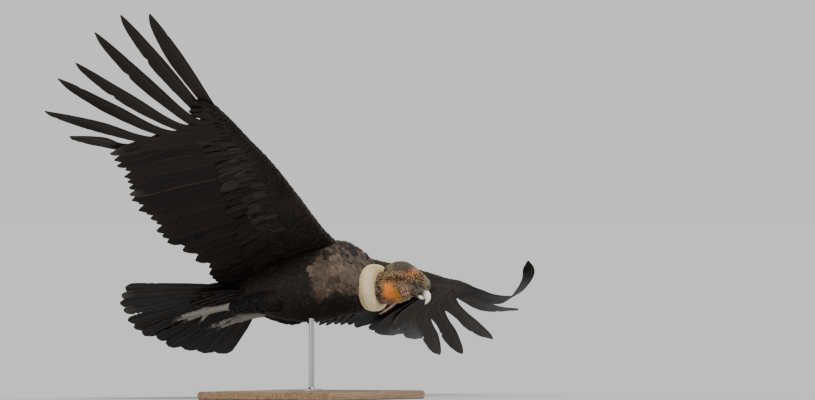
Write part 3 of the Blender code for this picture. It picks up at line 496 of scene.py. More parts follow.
@dataclass(frozen=True)
class Horn:
    """Horn of the bill or the claws, dark at the root and lighter to the tip."""

    name: str
    root: Colour
    tip: Colour
    start: float
    end: float
    roughness: float = 0.3

    def make(self) -> Material:
        """Builds the material.

        Returns:
            The material.
        """
        shader = Shader(self.name, Specular_IOR_Level=0.5)
        run = shader.attribute("run")
        streaks = shader.grain(160.0, 3.0)
        share = (run + (streaks - 0.5) * 0.25).between(self.start, self.end)
        colour = shader.mix(share, self.root, self.tip)
        colour = shader.mix((streaks - 0.5) * 0.35, colour, self.root)
        return shader.finish(colour, streaks * 0.18 + self.roughness, streaks, 0.0003)


@dataclass(frozen=True)
class Scales:
    """Small grey scales of the feet, with painted shade in the gaps between them."""

    name: str = "leg_scales"
    light: Colour = (0.34, 0.33, 0.29)
    gap_shade: Colour = (0.07, 0.062, 0.052)

    def make(self) -> Material:
        """Builds the material.

        Returns:
            The material.
        """
        shader = Shader(self.name, Specular_IOR_Level=0.35)
        crease_shade = shader.attribute("crease_shade")
        cloud = shader.grain(60.0, 3.0)
        colour = shader.mix(cloud, (0.24, 0.235, 0.2), self.light)
        # Painted shade in the gaps between the scales.
        colour = shader.mix(crease_shade, colour, self.gap_shade)
        return shader.finish(colour, cloud * 0.2 + 0.52, cloud, 0.0003)


@dataclass(frozen=True)
class WetEye:
    """A dark brown eye under a wet clear surface."""

    name: str = "eye"

    def make(self) -> Material:
        """Builds the material.

        Returns:
            The material.
        """
        shader = Shader(self.name, Specular_IOR_Level=0.3, Coat_Weight=0.5, Coat_Roughness=0.03)
        ring = shader.attribute("ring")
        rays = shader.grain(500.0, 2.0)
        iris = shader.mix(rays, (0.055, 0.022, 0.009), (0.16, 0.072, 0.028))
        colour = shader.mix(ring.between(0.3, 0.36), (0.002, 0.002, 0.002), iris)
        colour = shader.mix(ring.between(0.6, 0.72), colour, (0.01, 0.006, 0.005))
        return shader.finish(colour, 0.08)


@dataclass(frozen=True)
class OiledWood:
    """Oiled hardwood whose grain runs along the board."""

    name: str = "stand_wood"
    light: Colour = (0.33, 0.205, 0.115)
    deep: Colour = (0.155, 0.085, 0.043)

    def make(self) -> Material:
        """Builds the material.

        Returns:
            The material.
        """
        shader = Shader(self.name, Specular_IOR_Level=0.45)
        stretch = shader.add("ShaderNodeMapping", {}, {0: shader.place(), 3: (1.6, 17.0, 17.0)})
        bend = shader.add("ShaderNodeTexNoise", {}, {"Vector": stretch, "Scale": 1.3, "Detail": 4.0,
                                                     "Distortion": 0.7})
        rings = shader.add("ShaderNodeMath", {"operation": "SINE"}, {0: bend * 46.0}) * 0.5 + 0.5
        fine = shader.add("ShaderNodeMapping", {}, {0: shader.place(), 3: (9.0, 420.0, 420.0)})
        pores = shader.grain(1.0, 3.0, fine)
        colour = shader.mix(rings * 0.65 + pores * 0.35, self.light, self.deep)
        return shader.finish(colour, pores * 0.2 + 0.32, pores * 0.7 + rings * 0.3, 0.0002)


@dataclass(frozen=True)
class BrushedSteel:
    """Steel with fine brush lines."""

    name: str = "stand_steel"

    def make(self) -> Material:
        """Builds the material.

        Returns:
            The material.
        """
        shader = Shader(self.name, Metallic=1.0)
        fine = shader.add("ShaderNodeMapping", {}, {0: shader.place(), 3: (90.0, 90.0, 1500.0)})
        lines = shader.grain(1.0, 2.0, fine)
        colour = shader.mix(lines, (0.42, 0.42, 0.43), (0.6, 0.6, 0.6))
        return shader.finish(colour, lines * 0.16 + 0.24, lines, 0.00008)


# Surfaces that the coat lies on


class Sheet:
    """A surface of two parameters, u across it or round it and v along it."""

    # Which way its own outward side lies, and where its unwrap starts along v and how long it is
    hand: float = 1.0
    chart_start: float = 0.0
    chart_length: float = 1.0

    def shape(self, u: Array, v: Array) -> Array:
        """Places on the surface for parameters of one shape."""
        raise NotImplementedError

    def at(self, u: Array, v: Array) -> Array:
        """Places on the surface."""
        return self.shape(*np.broadcast_arrays(u, v))

    def round_share(self, u: Array) -> Array:
        """Places across the unwrap of a surface that goes round, from 0 to 1."""
        return (u / (2 * pi)) % 1.0 * (1 - 2 * MARGIN) + MARGIN

    def chart(self, u: Array, v: Array) -> Array:
        """Places on the unwrap of the surface, each from 0 to 1."""
        along = (v - self.chart_start) / self.chart_length
        return np.stack([self.round_share(u), np.clip(along, MARGIN, 1 - MARGIN)], -1)

    def frame(self, u: Array, v: Array) -> tuple[Array, Array, Array, Array]:
        """Places, slopes and the outward direction.

        Args:
            u: First parameter.
            v: Second parameter.

        Returns:
            The places, their change with u and with v, and the outward unit vectors.
        """
        small = 0.0008
        along_u = (self.at(u + small, v) - self.at(u - small, v)) / (2 * small)
        along_v = (self.at(u, v + small) - self.at(u, v - small)) / (2 * small)
        out = unit(np.cross(along_u, along_v)) * self.hand
        return self.at(u, v), along_u, along_v, out


@dataclass(frozen=True)
class WingPlan:
    """The wing's middle surface and the flesh in it, alike on both sides."""

    front: Profile = Profile((
        (0.05, 0.0), (0.16, 0.0), (0.36, -0.016), (0.62, -0.027), (0.8, -0.013), (1.0, 0.0)))
    leading_height: Profile = Profile((
        (0.05, 0.112), (0.18, 0.137), (0.36, 0.178), (0.54, 0.221), (0.7, 0.257), (0.83, 0.297),
        (0.96, 0.324), (1.1, 0.345)))
    trailing_back: Profile = Profile((
        (0.05, 0.4), (0.13, 0.425), (0.26, 0.452), (0.36, 0.49), (0.45, 0.514), (0.6, 0.512), (0.7, 0.49),
        (0.8, 0.458), (1.0, 0.42)))
    trailing_drop: Profile = Profile(((0.05, 0.07), (0.3, 0.088), (0.6, 0.074), (0.8, 0.078), (1.0, 0.112)))
    camber: Profile = Profile(((0.05, 0.03), (0.5, 0.028), (0.8, 0.014), (1.0, 0.004)))
    flesh_chord: Profile = Profile((
        (0.05, 0.23), (0.2, 0.2), (0.36, 0.17), (0.55, 0.105), (0.7, 0.068), (0.9, 0.046), (0.985, 0.012)))
    flesh_half: Profile = Profile((
        (0.05, 0.034), (0.2, 0.029), (0.36, 0.023), (0.55, 0.0165), (0.7, 0.0135), (0.9, 0.009),
        (0.985, 0.003)))

    def height(self, out: Array, back: Array) -> Array:
        """Height of the middle surface.

        Args:
            out: Distance from the midline.
            back: Distance behind the shoulders.

        Returns:
            The heights.
        """
        front = self.front(out)
        share = np.clip((back - front) / (self.trailing_back(out) - front), 0.0, 1.05)
        arch = 4 * share * (1 - share) * self.camber(out)
        return self.leading_height(out) - self.trailing_drop(out) * share + arch

    def on(self, side: int, out: Array, back: Array, lift: Array | float = 0.0) -> Array:
        """Places at a height over the middle surface of the left wing, side 1, or the right one, side -1."""
        out, back = np.broadcast_arrays(np.asarray(out, float), np.asarray(back, float))
        return np.stack([side * out, back, self.height(out, back) + lift], -1)

    def thickness(self, out: Array, behind: Array) -> Array:
        """Half thickness of the wing at distances out from the midline and behind the leading edge."""
        share = np.clip(behind / self.flesh_chord(out), 0.0, 1.0)
        return self.flesh_half(out) * (np.sqrt(4 * share * (1 - share)) ** 0.65 * (1.0 - 0.5 * share))


PLAN = WingPlan()


@dataclass(frozen=True)
class WingSheet(Sheet):
    """The upper or lower face of a wing: u is out from the midline, v back from the leading edge."""

    side: int
    face: int
    web: float = 0.003
    chart_length = 0.5

    @property
    def hand(self) -> float:
        """Which way the surface's own outward side lies."""
        return float(self.side * self.face)

    def shape(self, u: Array, v: Array) -> Array:
        """Places on the surface."""
        depth = np.maximum(PLAN.thickness(u, np.maximum(v, 0)), self.web * step(v, 0.01, 0.06))
        return PLAN.on(self.side, u, PLAN.front(u) + v, self.face * depth)

    def round_share(self, u: Array) -> Array:
        """Places across the unwrap of the wing, from 0 to 1."""
        return np.clip(u / 1.2, MARGIN, 1 - MARGIN)


@dataclass(frozen=True)
class EdgeSheet(WingSheet):
    """The wing's rounded leading edge: v runs from the lower face over it to the upper one."""

    nose: float = 0.01
    chart_start, chart_length = -0.97, 1.0

    def shape(self, u: Array, v: Array) -> Array:
        """Places on the surface."""
        behind = self.nose * (1 - np.cos(np.clip(v / self.nose, -1.5, 1.5)))
        return PLAN.on(self.side, u, PLAN.front(u) + behind, PLAN.thickness(u, behind) * np.sign(v))


@dataclass(frozen=True)
class TrunkSheet(Sheet):
    """The trunk: u is the turn from its top towards its left, v the distance back."""

    inset: float = 0.0
    middle, half_width, rise, drop = curves(
        (-0.128, -0.1, -0.055, 0.0, 0.08, 0.17, 0.26, 0.34, 0.405, 0.44),
        (-0.052, -0.044, -0.024, -0.006, 0.002, 0.004, 0.008, 0.018, 0.03, 0.036),
        (0.052, 0.08, 0.106, 0.122, 0.128, 0.12, 0.104, 0.08, 0.056, 0.03),
        (0.066, 0.106, 0.134, 0.149, 0.14, 0.124, 0.104, 0.08, 0.052, 0.028),
        (0.05, 0.074, 0.1, 0.116, 0.122, 0.118, 0.098, 0.074, 0.048, 0.026))
    chart_start, chart_length = -0.14, 0.62

    def shape(self, u: Array, v: Array) -> Array:
        """Places on the surface."""
        tall = (np.where(np.cos(u) > 0, self.rise(v), self.drop(v)) - self.inset) * np.cos(u)
        return np.stack([(self.half_width(v) - self.inset) * np.sin(u), v, self.middle(v) + tall], -1)


@dataclass(frozen=True)
class LimbSheet(Sheet):
    """A limb round a bent middle line: u is the turn round it, v the share of its length."""

    line: Line
    radius: Profile
    length: float

    def shape(self, u: Array, v: Array) -> Array:
        """Places on the surface.

        Args:
            u: First parameter.
            v: Second parameter, in the same shape.

        Returns:
            The places.
        """
        centre = self.line(v)
        ahead = unit(self.line(v + 0.01) - self.line(v - 0.01))
        side = unit(np.cross(ahead, UP))
        over = np.cross(side, ahead)
        radius = self.radius(v)[..., None]
        return centre + radius * (side * np.cos(u)[..., None] + over * np.sin(u)[..., None])


@dataclass(frozen=True)
class RuffSheet(Sheet):
    """The collar of down: u is the turn round the neck, v runs from its back edge to its front one."""

    hand: float = -1.0
    radius, ahead = curves(
        (-1.0, -0.6, -0.2, 0.2, 0.6, 1.0, 1.4), (0.06, 0.0765, 0.0815, 0.0815, 0.0765, 0.059, 0.0425),
        (-0.03, -0.0235, -0.009, 0.008, 0.0225, 0.031, 0.0295))
    chart_start, chart_length = -1.0, 2.4

    def axes(self) -> tuple[Array, Array, Array, Array]:
        """Middle of the collar, its axis, and its sideways and upward directions.

        Returns:
            The four of them.
        """
        axis = unit(np.array(LEVEL @ Vector((0, -1, 0))))
        side = unit(LEFTWARD - axis * axis[0])
        up = np.cross(side, axis)
        up = up if up[2] > 0 else -up
        return np.array((0.0, -0.122, -0.056)), axis, side, up

    def shape(self, u: Array, v: Array) -> Array:
        """Places on the surface.

        Args:
            u: First parameter.
            v: Second parameter, in the same shape.

        Returns:
            The places.
        """
        centre, axis, side, up = self.axes()
        out = side * np.cos(u)[..., None] + up * np.sin(u)[..., None]
        return centre + out * self.radius(v)[..., None] + axis * self.ahead(v)[..., None]


# Webs: feathers, tufts and locks as thin closed meshes


def web_quads(stations: int, columns: int) -> Array:
    """Faces of one closed web, whose top points come first and whose under points follow.

    Args:
        stations: Points along the web.
        columns: Points across it.

    Returns:
        The four points of each face.
    """
    grid = np.arange(stations * columns).reshape(stations, columns)
    under = grid + stations * columns
    top = [grid[:-1, :-1], grid[:-1, 1:], grid[1:, 1:], grid[1:, :-1]]
    back = [under[1:, :-1], under[1:, 1:], under[:-1, 1:], under[:-1, :-1]]
    first = [grid[:-1, 0], grid[1:, 0], under[1:, 0], under[:-1, 0]]
    last = [grid[1:, -1], grid[:-1, -1], under[:-1, -1], under[1:, -1]]
    root = [grid[0, 1:], grid[0, :-1], under[0, :-1], under[0, 1:]]
    tip = [grid[-1, :-1], grid[-1, 1:], under[-1, 1:], under[-1, :-1]]
    return np.concatenate([np.stack([np.ravel(corner) for corner in side], -1)
                           for side in (top, back, first, last, root, tip)])


@dataclass
class Stock:
    """The webs of one piece, gathered as arrays and made into one mesh; only their tops are pale."""

    rng: Random
    points: list[Array] = field(default_factory=list)
    quads: list[Array] = field(default_factory=list)
    vane: list[Array] = field(default_factory=list)
    bake: list[Array] = field(default_factory=list)
    marks: dict[str, list[Array]] = field(default_factory=lambda: {"tone": [], "pale": [], "seed": []})
    count: int = 0

    def add(self, top: Array, under: Array, across: Array, along: Array, bake: Array, marks: Marks) -> None:
        """Adds webs of like size.

        Args:
            top: Upper points, as webs by stations by columns by 3.
            under: The points below them.
            across: Place across each web from 0 to 1, by stations and columns.
            along: Place along it from 0 to 1, in the same shape.
            bake: Place on the bake map for each point, as webs by stations by columns by 2.
            marks: The values of tone, pale and seed, as webs by stations by columns.
        """
        webs, *grid = top.shape[:3]
        offsets = self.count + 2 * prod(grid) * np.arange(webs)
        self.quads.append((web_quads(*grid)[None] + offsets[:, None, None]).reshape(-1, 4))
        vane = np.broadcast_to(np.stack(np.broadcast_arrays(across, along), -1), (webs, *grid, 2))
        faces = [(self.points, top, under), (self.vane, vane, vane), (self.bake, bake, bake)]
        for name, held in self.marks.items():
            value = np.broadcast_to(marks.get(name, np.zeros(1)), (webs, *grid))
            faces.append((held, value, value * (name != "pale")))
        for held, above, below in faces:
            both = [face.reshape(webs, prod(grid), -1) for face in (above, below)]
            held.append(np.concatenate(both, 1).reshape(-1, both[0].shape[-1]))
        self.count += 2 * webs * prod(grid)

    def make(self, name: str) -> Mesh:
        """Builds the piece's mesh.

        Args:
            name: The piece's name.

        Returns:
            The mesh, level in the bird's own frame.
        """
        quads = np.concatenate(self.quads)
        marks = {mark: np.concatenate(values) for mark, values in self.marks.items()}
        mesh = mesh_from(name, np.concatenate(self.points), quads, marks)
        for layer, places in (("vane", self.vane), ("OFBake", self.bake)):
            corners = np.concatenate(places)[quads.ravel()]
            mesh.uv_layers.new(name=layer).data.foreach_set("uv", corners.astype(np.float32).ravel())
        mesh.set_sharp_from_angle(angle=radians(40))
        return mesh


def mesh_from(name: str, points: Array, faces: Array, marks: Marks) -> Mesh:
    """A smooth mesh from arrays.

    Args:
        name: The mesh's name.
        points: Its points.
        faces: The points of each face, as many for each.
        marks: Numbers that it holds for each point, by name.

    Returns:
        The mesh.
    """
    mesh = bpy.data.meshes.new(name)
    mesh.vertices.add(len(points))
    mesh.vertices.foreach_set("co", points.astype(np.float32).ravel())
    sides = faces.shape[1]
    mesh.loops.add(faces.size)
    mesh.loops.foreach_set("vertex_index", faces.astype(np.int32).ravel())
    mesh.polygons.add(len(faces))
    mesh.polygons.foreach_set("loop_start", np.arange(0, faces.size, sides, dtype=np.int32))
    mesh.update(calc_edges=True)
    return marked(mesh, marks)


def marked(mesh: Mesh, marks: Marks) -> Mesh:
    """The mesh, smooth and with its numbers for each point.

    Args:
        mesh: The mesh.
        marks: Numbers for each point, by name.

    Returns:
        The same mesh.
    """
    for name, values in marks.items():
        data = mesh.attributes.new(name, "FLOAT", "POINT").data
        data.foreach_set("value", values.astype(np.float32).ravel())
    mesh.shade_smooth()
    return mesh


def new_object(data: bpy.types.ID) -> bpy.types.Object:
    """An object in the scene, named as the mesh, light or camera that it holds.

    Args:
        data: The mesh, light or camera.

    Returns:
        The object.
    """
    obj = bpy.data.objects.new(data.name, data)
    bpy.context.scene.collection.objects.link(obj)
    return obj


def settle(mesh: Mesh, material: Material, slot: str, *nodes: str) -> None:
    """Makes a piece of a mesh, with its finish and the bird's pose, and hides the solids that it replaces.

    Args:
        mesh: The mesh, level in the bird's frame and named as the piece.
        material: Its finish.
        slot: A material slot's name; not used.
        nodes: The solids that it replaces.
    """
    mesh.materials.append(material)
    mesh.transform(POSE)
    obj = new_object(mesh)
    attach(obj, "root")
    if nodes:
        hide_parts(*nodes)
    log.info("%s: %d faces", obj.name, len(mesh.polygons))


ROUND_OUTLINE = Profile(((0.0, 0.45), (0.3, 0.9), (0.62, 1.0), (0.84, 0.84), (0.94, 0.58), (1.0, 0.16)))
TUFT_OUTLINE = Profile(((0.0, 0.8), (0.4, 1.0), (0.75, 0.65), (1.0, 0.12)))


@dataclass(frozen=True)
class FeatherForm:
    """The form that small feathers or tufts of one kind share."""

    outline: Profile = ROUND_OUTLINE
    stations: int = 5
    columns: int = 3
    thickness: float = 0.0006
    sink: float = 0.0025
    lift: float = 0.003
    arch: float = 0.1
    tilt: float = 0.04
    curl: float = 0.0

    def lay(self, stock: Stock, sheet: Sheet, u: Array, v: Array, lean: Array, length: Array,
            width: Array, marks: Marks) -> None:
        """Lays feathers on a surface.

        Args:
            stock: The piece that takes them.
            sheet: The surface.
            u: First parameter of each root.
            v: Second parameter of each root.
            lean: Angle from the way of v towards the way of u.
            length: Length of each feather.
            width: Width of each.
            marks: Tone and pale of each.
        """
        rng, count = stock.rng, len(u)
        t = 1 - (1 - np.linspace(0, 1, self.stations)[None, :, None]) ** 1.5
        x = np.linspace(-1, 1, self.columns)[None, None, :] * sheet.hand
        _, along_u, along_v, _ = sheet.frame(u, v)
        per_u = 1.0 / np.linalg.norm(along_u, axis=-1)
        per_v = 1.0 / np.linalg.norm(along_v, axis=-1)
        bend = rng.uniform(-1, 1, count) * self.curl
        lean, length, bend, per_u, per_v = (a[:, None, None] for a in (lean, length, bend, per_u, per_v))
        turn = lean + bend * t
        ragged = 1 + 0.07 * rng.uniform(-1, 1, (count, self.stations, self.columns))
        half = 0.5 * width[:, None, None] * self.outline(t) * ragged
        run = length * t
        uu = u[:, None, None] + (run * np.sin(turn) + x * half * np.cos(turn)) * per_u
        vv = v[:, None, None] + (run * np.cos(turn) - x * half * np.sin(turn)) * per_v
        place, _, _, out = sheet.frame(uu, vv)
        lift = self.lift * rng.uniform(0.65, 1.35, (count, 1, 1))
        rise = (self.sink + lift) * t ** 0.75 - self.sink
        rise = rise + self.arch * half * (1 - x * x) + self.tilt * half * x * sheet.hand
        top = place + out * rise[..., None]
        thick = self.thickness * (1 - 0.55 * t)
        under = top - out * np.broadcast_to(thick, rise.shape)[..., None]
        across = np.broadcast_to(0.5 + 0.5 * x * sheet.hand, (1, self.stations, self.columns))[0]
        along = np.broadcast_to(t, (1, self.stations, self.columns))[0]
        patch = np.stack([(across - 0.5) * PATCH, along * PATCH], -1)
        bake = sheet.chart(u, v)[:, None, None, :] + patch
        held = {name: np.asarray(value)[:, None, None] for name, value in marks.items()}
        held["seed"] = rng.uniform(0, 1, (count, 1, 1))
        stock.add(top, under, across, along, bake, held)


@dataclass(frozen=True)
class Quill:
    """One flight feather: the line of its shaft, its width along it and how it lies."""

    line: Shaft
    lateral: Edge
    width: Profile
    ahead: float
    up_sign: float
    thickness: tuple[float, float] = (0.0012, 0.0005)
    camber: float = 0.05
    shaft: float = 0.0019
    notches: int = 2
    white: float = 0.0
    tone: float = 0.0
    stations: int = 44

    def add_to(self, stock: Stock, lane: int, lanes: int) -> None:
        """Adds the feather to a piece.

        Args:
            stock: The piece.
            lane: Which strip of the bake map it takes.
            lanes: How many strips there are.
        """
        rng = stock.rng
        t = 1 - (1 - np.linspace(0, 1, self.stations)) ** 1.12
        place = self.line(t)
        ahead = unit(self.line(np.minimum(t + 0.02, 1)) - self.line(np.maximum(t - 0.02, 0)))
        side = self.lateral(t, ahead)
        side = unit(side - ahead * np.sum(side * ahead, -1, keepdims=True))
        up = np.cross(ahead, side) * self.up_sign
        across = np.array((-1.0, -0.86, -0.62, -0.34, -0.07, 0.0, 0.13, 0.5, 0.82, 1.0))
        if np.dot(np.cross(ahead[3], up[3]), side[3]) < 0:
            across = across[::-1]
        span = np.where(across > 0, self.ahead, 1 - self.ahead)
        reach = np.ones((self.stations, len(across)))
        edge = np.abs(across) > 0.99
        ripple = rng.uniform(-1, 1, (self.stations, 2)) * 0.018
        reach[:, edge] += ripple
        for _ in range(self.notches):
            at = int(rng.integers(int(self.stations * 0.62), self.stations - 4))
            which = -1.0 if rng.random() < 0.75 else 1.0
            reach[at, across == which] -= rng.uniform(0.1, 0.26)
        offset = across * span * self.width(t)[:, None] * reach
        ridge = self.shaft * (1 - 0.82 * t[:, None]) * np.exp(-(offset / 0.0026) ** 2)
        bow = -self.camber * (offset ** 2) / np.maximum(self.width(t)[:, None], 0.004)
        thick = self.thickness[0] + (self.thickness[1] - self.thickness[0]) * t[:, None]
        flutter = 0.0011 * np.sin(7.0 * offset / 0.03 + rng.uniform(0, 6)) * t[:, None]
        middle = place[:, None] + side[:, None] * offset[..., None]
        lift = bow + flutter
        top = middle + up[:, None] * (lift + 0.5 * thick + ridge * 0.55)[..., None]
        under = middle + up[:, None] * (lift - 0.5 * thick - ridge * 0.45)[..., None]
        shares = np.broadcast_to(0.5 + 0.5 * across[None, :], offset.shape)
        along = np.broadcast_to(t[:, None], offset.shape)
        bake = np.stack([(lane + 0.06 + 0.88 * shares) / lanes, 0.01 + 0.98 * along], -1)[None]
        pale = self.white * step(shares, 0.5, 0.58) * step(along, 0.1, 0.3) * (
            1 - step(along, 0.86, 0.95)) * (1 - step(shares, 0.93, 1.0))
        marks = {"tone": np.full((1, 1, 1), self.tone + 0.05 * rng.random()), "pale": pale[None],
                 "seed": np.full((1, 1, 1), rng.random())}
        stock.add(top[None], under[None], shares, along, bake, marks)


class Wing(Enum):
    """The two wings."""

    RIGHT = -1
    LEFT = 1


FLIGHT_WIDTH = Profile(((0.0, 0.3), (0.16, 0.96), (0.55, 1.0), (0.86, 0.88), (0.95, 0.6), (1.0, 0.12)))
FINGER_WIDTH = Profile((
    (0.0, 0.16), (0.2, 0.85), (0.36, 0.66), (0.64, 0.96), (0.86, 0.7), (0.95, 0.42), (1.0, 0.1)))
SPREAD_WIDTH = Profile((
    (0.0, 0.16), (0.16, 1.15), (0.32, 1.34), (0.44, 1.0), (0.56, 0.84), (0.7, 0.96), (0.86, 0.74),
    (0.95, 0.44), (1.0, 0.1)))
CURLED_WIDTH = Profile((
    (0.0, 0.16), (0.2, 0.75), (0.4, 0.95), (0.6, 1.06), (0.78, 0.95), (0.92, 0.62), (1.0, 0.1)))


def steady(*way: float) -> Edge:
    """An edge that lies the same way all along its feather."""
    return lambda t, ahead: np.broadcast_to(np.array(way), ahead.shape)


@dataclass
class WingFeathers:
    """The flight feathers and coverts of one wing."""

    wing: Wing
    plumage: Material
    rng: Random = field(init=False)
    wrist_out: float = 0.7
    secondaries: int = 24
    inner_root_out: float = 0.075
    inner_tip_out: float = 0.088
    outer_tip_out: float = 0.815
    secondary_width: float = 0.066
    primary_width: dict[Wing, float] = field(default_factory=lambda: {Wing.RIGHT: 0.074, Wing.LEFT: 0.09})
    finger_width: float = 0.062
    tips: dict[Wing, Rows] = field(default_factory=lambda: {
        Wing.RIGHT: (
            (0.875, 0.44, 0.208), (0.93, 0.42, 0.206), (0.99, 0.402, 0.204), (1.204, 0.441, 0.199),
            (1.357, 0.454, 0.24), (1.389, 0.383, 0.34), (1.409, 0.297, 0.372), (1.453, 0.194, 0.452),
            (1.457, 0.086, 0.493), (1.405, -0.002, 0.498)),
        Wing.LEFT: (
            (0.905, 0.464, 0.244), (0.995, 0.448, 0.262), (1.088, 0.42, 0.284), (1.204, 0.43, 0.324),
            (1.357, 0.446, 0.362), (1.389, 0.383, 0.296), (1.409, 0.297, 0.29), (1.453, 0.194, 0.345),
            (1.457, 0.086, 0.441), (1.373, -0.002, 0.588))})
    bases: Rows = (
        (0.94, 0.33, 0.24), (0.935, 0.247, 0.25), (0.935, 0.187, 0.262), (0.938, 0.136, 0.275),
        (0.935, 0.088, 0.289), (0.935, 0.043, 0.305), (0.962, 0.002, 0.322))
    rise: Rows = ((0.42, 0.4), (0.42, 0.4), (0.4, 0.42), (0.42, 0.42), (0.45, 0.4), (0.5, 0.38), (0.55, 0.22))
    curled: Rows = ((1.1, 0.0, 0.345), (1.25, -0.002, 0.398), (1.35, -0.002, 0.48), (1.398, -0.002, 0.55))
    lean: Profile = Profile(((0.3, 0.0), (0.6, 0.17), (0.7, 0.35), (0.8, 0.61), (0.9, 0.96), (0.97, 1.4)))

    def build(self) -> None:
        """Builds the wing's pieces."""
        side, word = self.wing.value, self.wing.name.lower()
        self.rng = np.random.default_rng(21 + side)
        arm, hand = Stock(self.rng), Stock(self.rng)
        for number in range(self.secondaries):
            self.secondary(number).add_to(arm, number, self.secondaries)
        quills = [self.primary(number) for number in range(10)] + self.alula()
        for lane, quill in enumerate(quills):
            quill.add_to(hand, lane, len(quills))
        settle(arm.make(f"{word}_secondaries"), self.plumage, "black_plumage", f"{word}_wing_arm")
        settle(hand.make(f"{word}_primaries"), self.plumage, "black_plumage", f"{word}_wing_hand")
        for face, name in ((1, "upper"), (-1, "under")):
            coverts = self.coverts(WingSheet(side, face))
            settle(coverts.make(f"{word}_{name}_coverts"), self.plumage, "black_plumage")

    def laid(self, line: Shaft, lift: float) -> Edge:
        """Sideways direction to the leading edge along the wing's face, with that edge raised over it.

        Args:
            line: The shaft's line.
            lift: Rise of the edge over the wing's face for each metre.

        Returns:
            A function of the place along the feather and of its direction.
        """
        def lateral(t: Array, ahead: Array) -> Array:
            """Sideways directions at places along the feather.

            Args:
                t: Places along the feather.
                ahead: Its direction at each.

            Returns:
                The directions.
            """
            flat = unit(np.cross(ahead, UP)) * self.wing.value
            place, reach = line(t), 0.012
            high, low = place + flat * reach, place - flat * reach
            slope = (PLAN.height(np.abs(high[:, 0]), high[:, 1])
                     - PLAN.height(np.abs(low[:, 0]), low[:, 1])) / (2 * reach)
            return flat + UP * (slope + lift)[:, None]

        return lateral

    def secondary(self, number: int) -> Quill:
        """A flight feather of the forearm.

        Args:
            number: 0 for the one next to the wrist.

        Returns:
            The feather.
        """
        side, share = self.wing.value, number / (self.secondaries - 1)
        root_out = self.wrist_out - 0.012 + (self.inner_root_out - self.wrist_out + 0.012) * share
        tip_out = self.outer_tip_out + (self.inner_tip_out - self.outer_tip_out) * share
        root_back = float(PLAN.front(root_out) + PLAN.flesh_chord(root_out)) - 0.022
        over_tail = float(step(np.array(share), 0.78, 1.02))
        tip_back = float(PLAN.trailing_back(tip_out)) + self.rng.uniform(-0.022, 0.006) + 0.067 * over_tail

        def line(t: Array) -> Array:
            """Places on the shaft, with the innermost feathers' ends over the tail."""
            return PLAN.on(side, root_out + (tip_out - root_out) * t, root_back + (tip_back - root_back) * t,
                           0.014 * over_tail * t ** 2)

        white = 0.92 * float(step(np.array(share), 0.02, 0.1) * (1 - step(np.array(share), 0.86, 0.98)))
        broad = 1.35 if self.wing is Wing.LEFT and number < 3 else 1.0
        return Quill(line, self.laid(line, 0.06), FLIGHT_WIDTH * (self.secondary_width * broad), 0.36,
                     -side, white=white)

    def primary(self, number: int) -> Quill:
        """A flight feather of the hand.

        Args:
            number: 0 for the innermost.

        Returns:
            The feather.
        """
        side = self.wing.value
        root_out = self.wrist_out + 0.024 + 0.0205 * number
        root_back = float(PLAN.front(root_out) + PLAN.flesh_chord(root_out) * 0.62)
        root = PLAN.on(side, root_out, root_back)
        tip_out, tip_back, tip_height = self.tips[self.wing][number]
        tip = np.array((side * tip_out, tip_back, tip_height))
        finger = number - 3
        curled = self.wing is Wing.LEFT and number == 9
        if finger < 0:
            shaft = Line((root, PLAN.on(side, (root_out + tip_out) / 2, (root_back + tip_back) / 2), tip))
            return Quill(shaft, self.laid(shaft, 0.07),
                         FLIGHT_WIDTH * self.primary_width[self.wing], 0.42, -side)
        mirror = np.array((side, 1, 1))
        base = np.array(self.bases[finger]) * mirror
        if curled:
            bends = [np.array(point) * mirror for point in self.curled]
        else:
            half = base + (tip - base) * 0.52
            half[2] = base[2] + (tip[2] - base[2]) * self.rise[finger][0 if self.wing is Wing.RIGHT else 1]
            bends = [half]
        shaft = Line((root, base, *bends, tip))
        ahead = 0.22 if number == 9 else 0.3
        stiff = {"thickness": (0.0016, 0.0006), "shaft": 0.0026}
        if curled:
            return Quill(shaft, steady(0.0, -1.0, 0.35), CURLED_WIDTH * self.finger_width, ahead, -side,
                         notches=0, **stiff)
        outline = SPREAD_WIDTH if self.wing is Wing.LEFT and number < 8 else FINGER_WIDTH
        flat = self.laid(shaft, 0.07)

        def turning(t: Array, way: Array) -> Array:
            """Along the wing's face at the root, and free of it in the finger.

            Args:
                t: Places along the feather.
                way: Its direction at each.

            Returns:
                The directions.
            """
            share = step(t, 0.22, 0.5)[:, None]
            free = unit(np.cross(way, UP)) * side + UP * 0.17
            return flat(t, way) * (1 - share) + free * share

        broad = 1.22 if self.wing is Wing.LEFT and number < 5 else 1.0
        return Quill(shaft, turning, outline * (self.finger_width * broad), ahead, -side, notches=1,
                     tone=0.05, **stiff)

    def alula(self) -> list[Quill]:
        """The small stiff feathers of the thumb, along the leading edge of the hand.

        Returns:
            The feathers, from the front one.
        """
        side, quills = self.wing.value, []
        for number, (length, back) in enumerate(((0.135, 0.013), (0.11, 0.019), (0.088, 0.026))):
            def line(t: Array, length: float = length, back: float = back) -> Array:
                """Places on the shaft.

                Args:
                    t: Places along the feather.
                    length: The feather's length.
                    back: Its root's distance behind the leading edge.

                Returns:
                    The places.
                """
                out = self.wrist_out - 0.005 + length * t
                behind = back + 0.016 * t
                lift = PLAN.thickness(out, behind) + 0.0045 * t - 0.001
                return PLAN.on(side, out, PLAN.front(out) + behind, lift)

            width = FLIGHT_WIDTH * (0.026 - 0.002 * number)
            quills.append(Quill(line, self.laid(line, 0.05), width, 0.35, -side, stations=18, notches=0,
                                shaft=0.001, thickness=(0.0008, 0.0004)))
        return quills

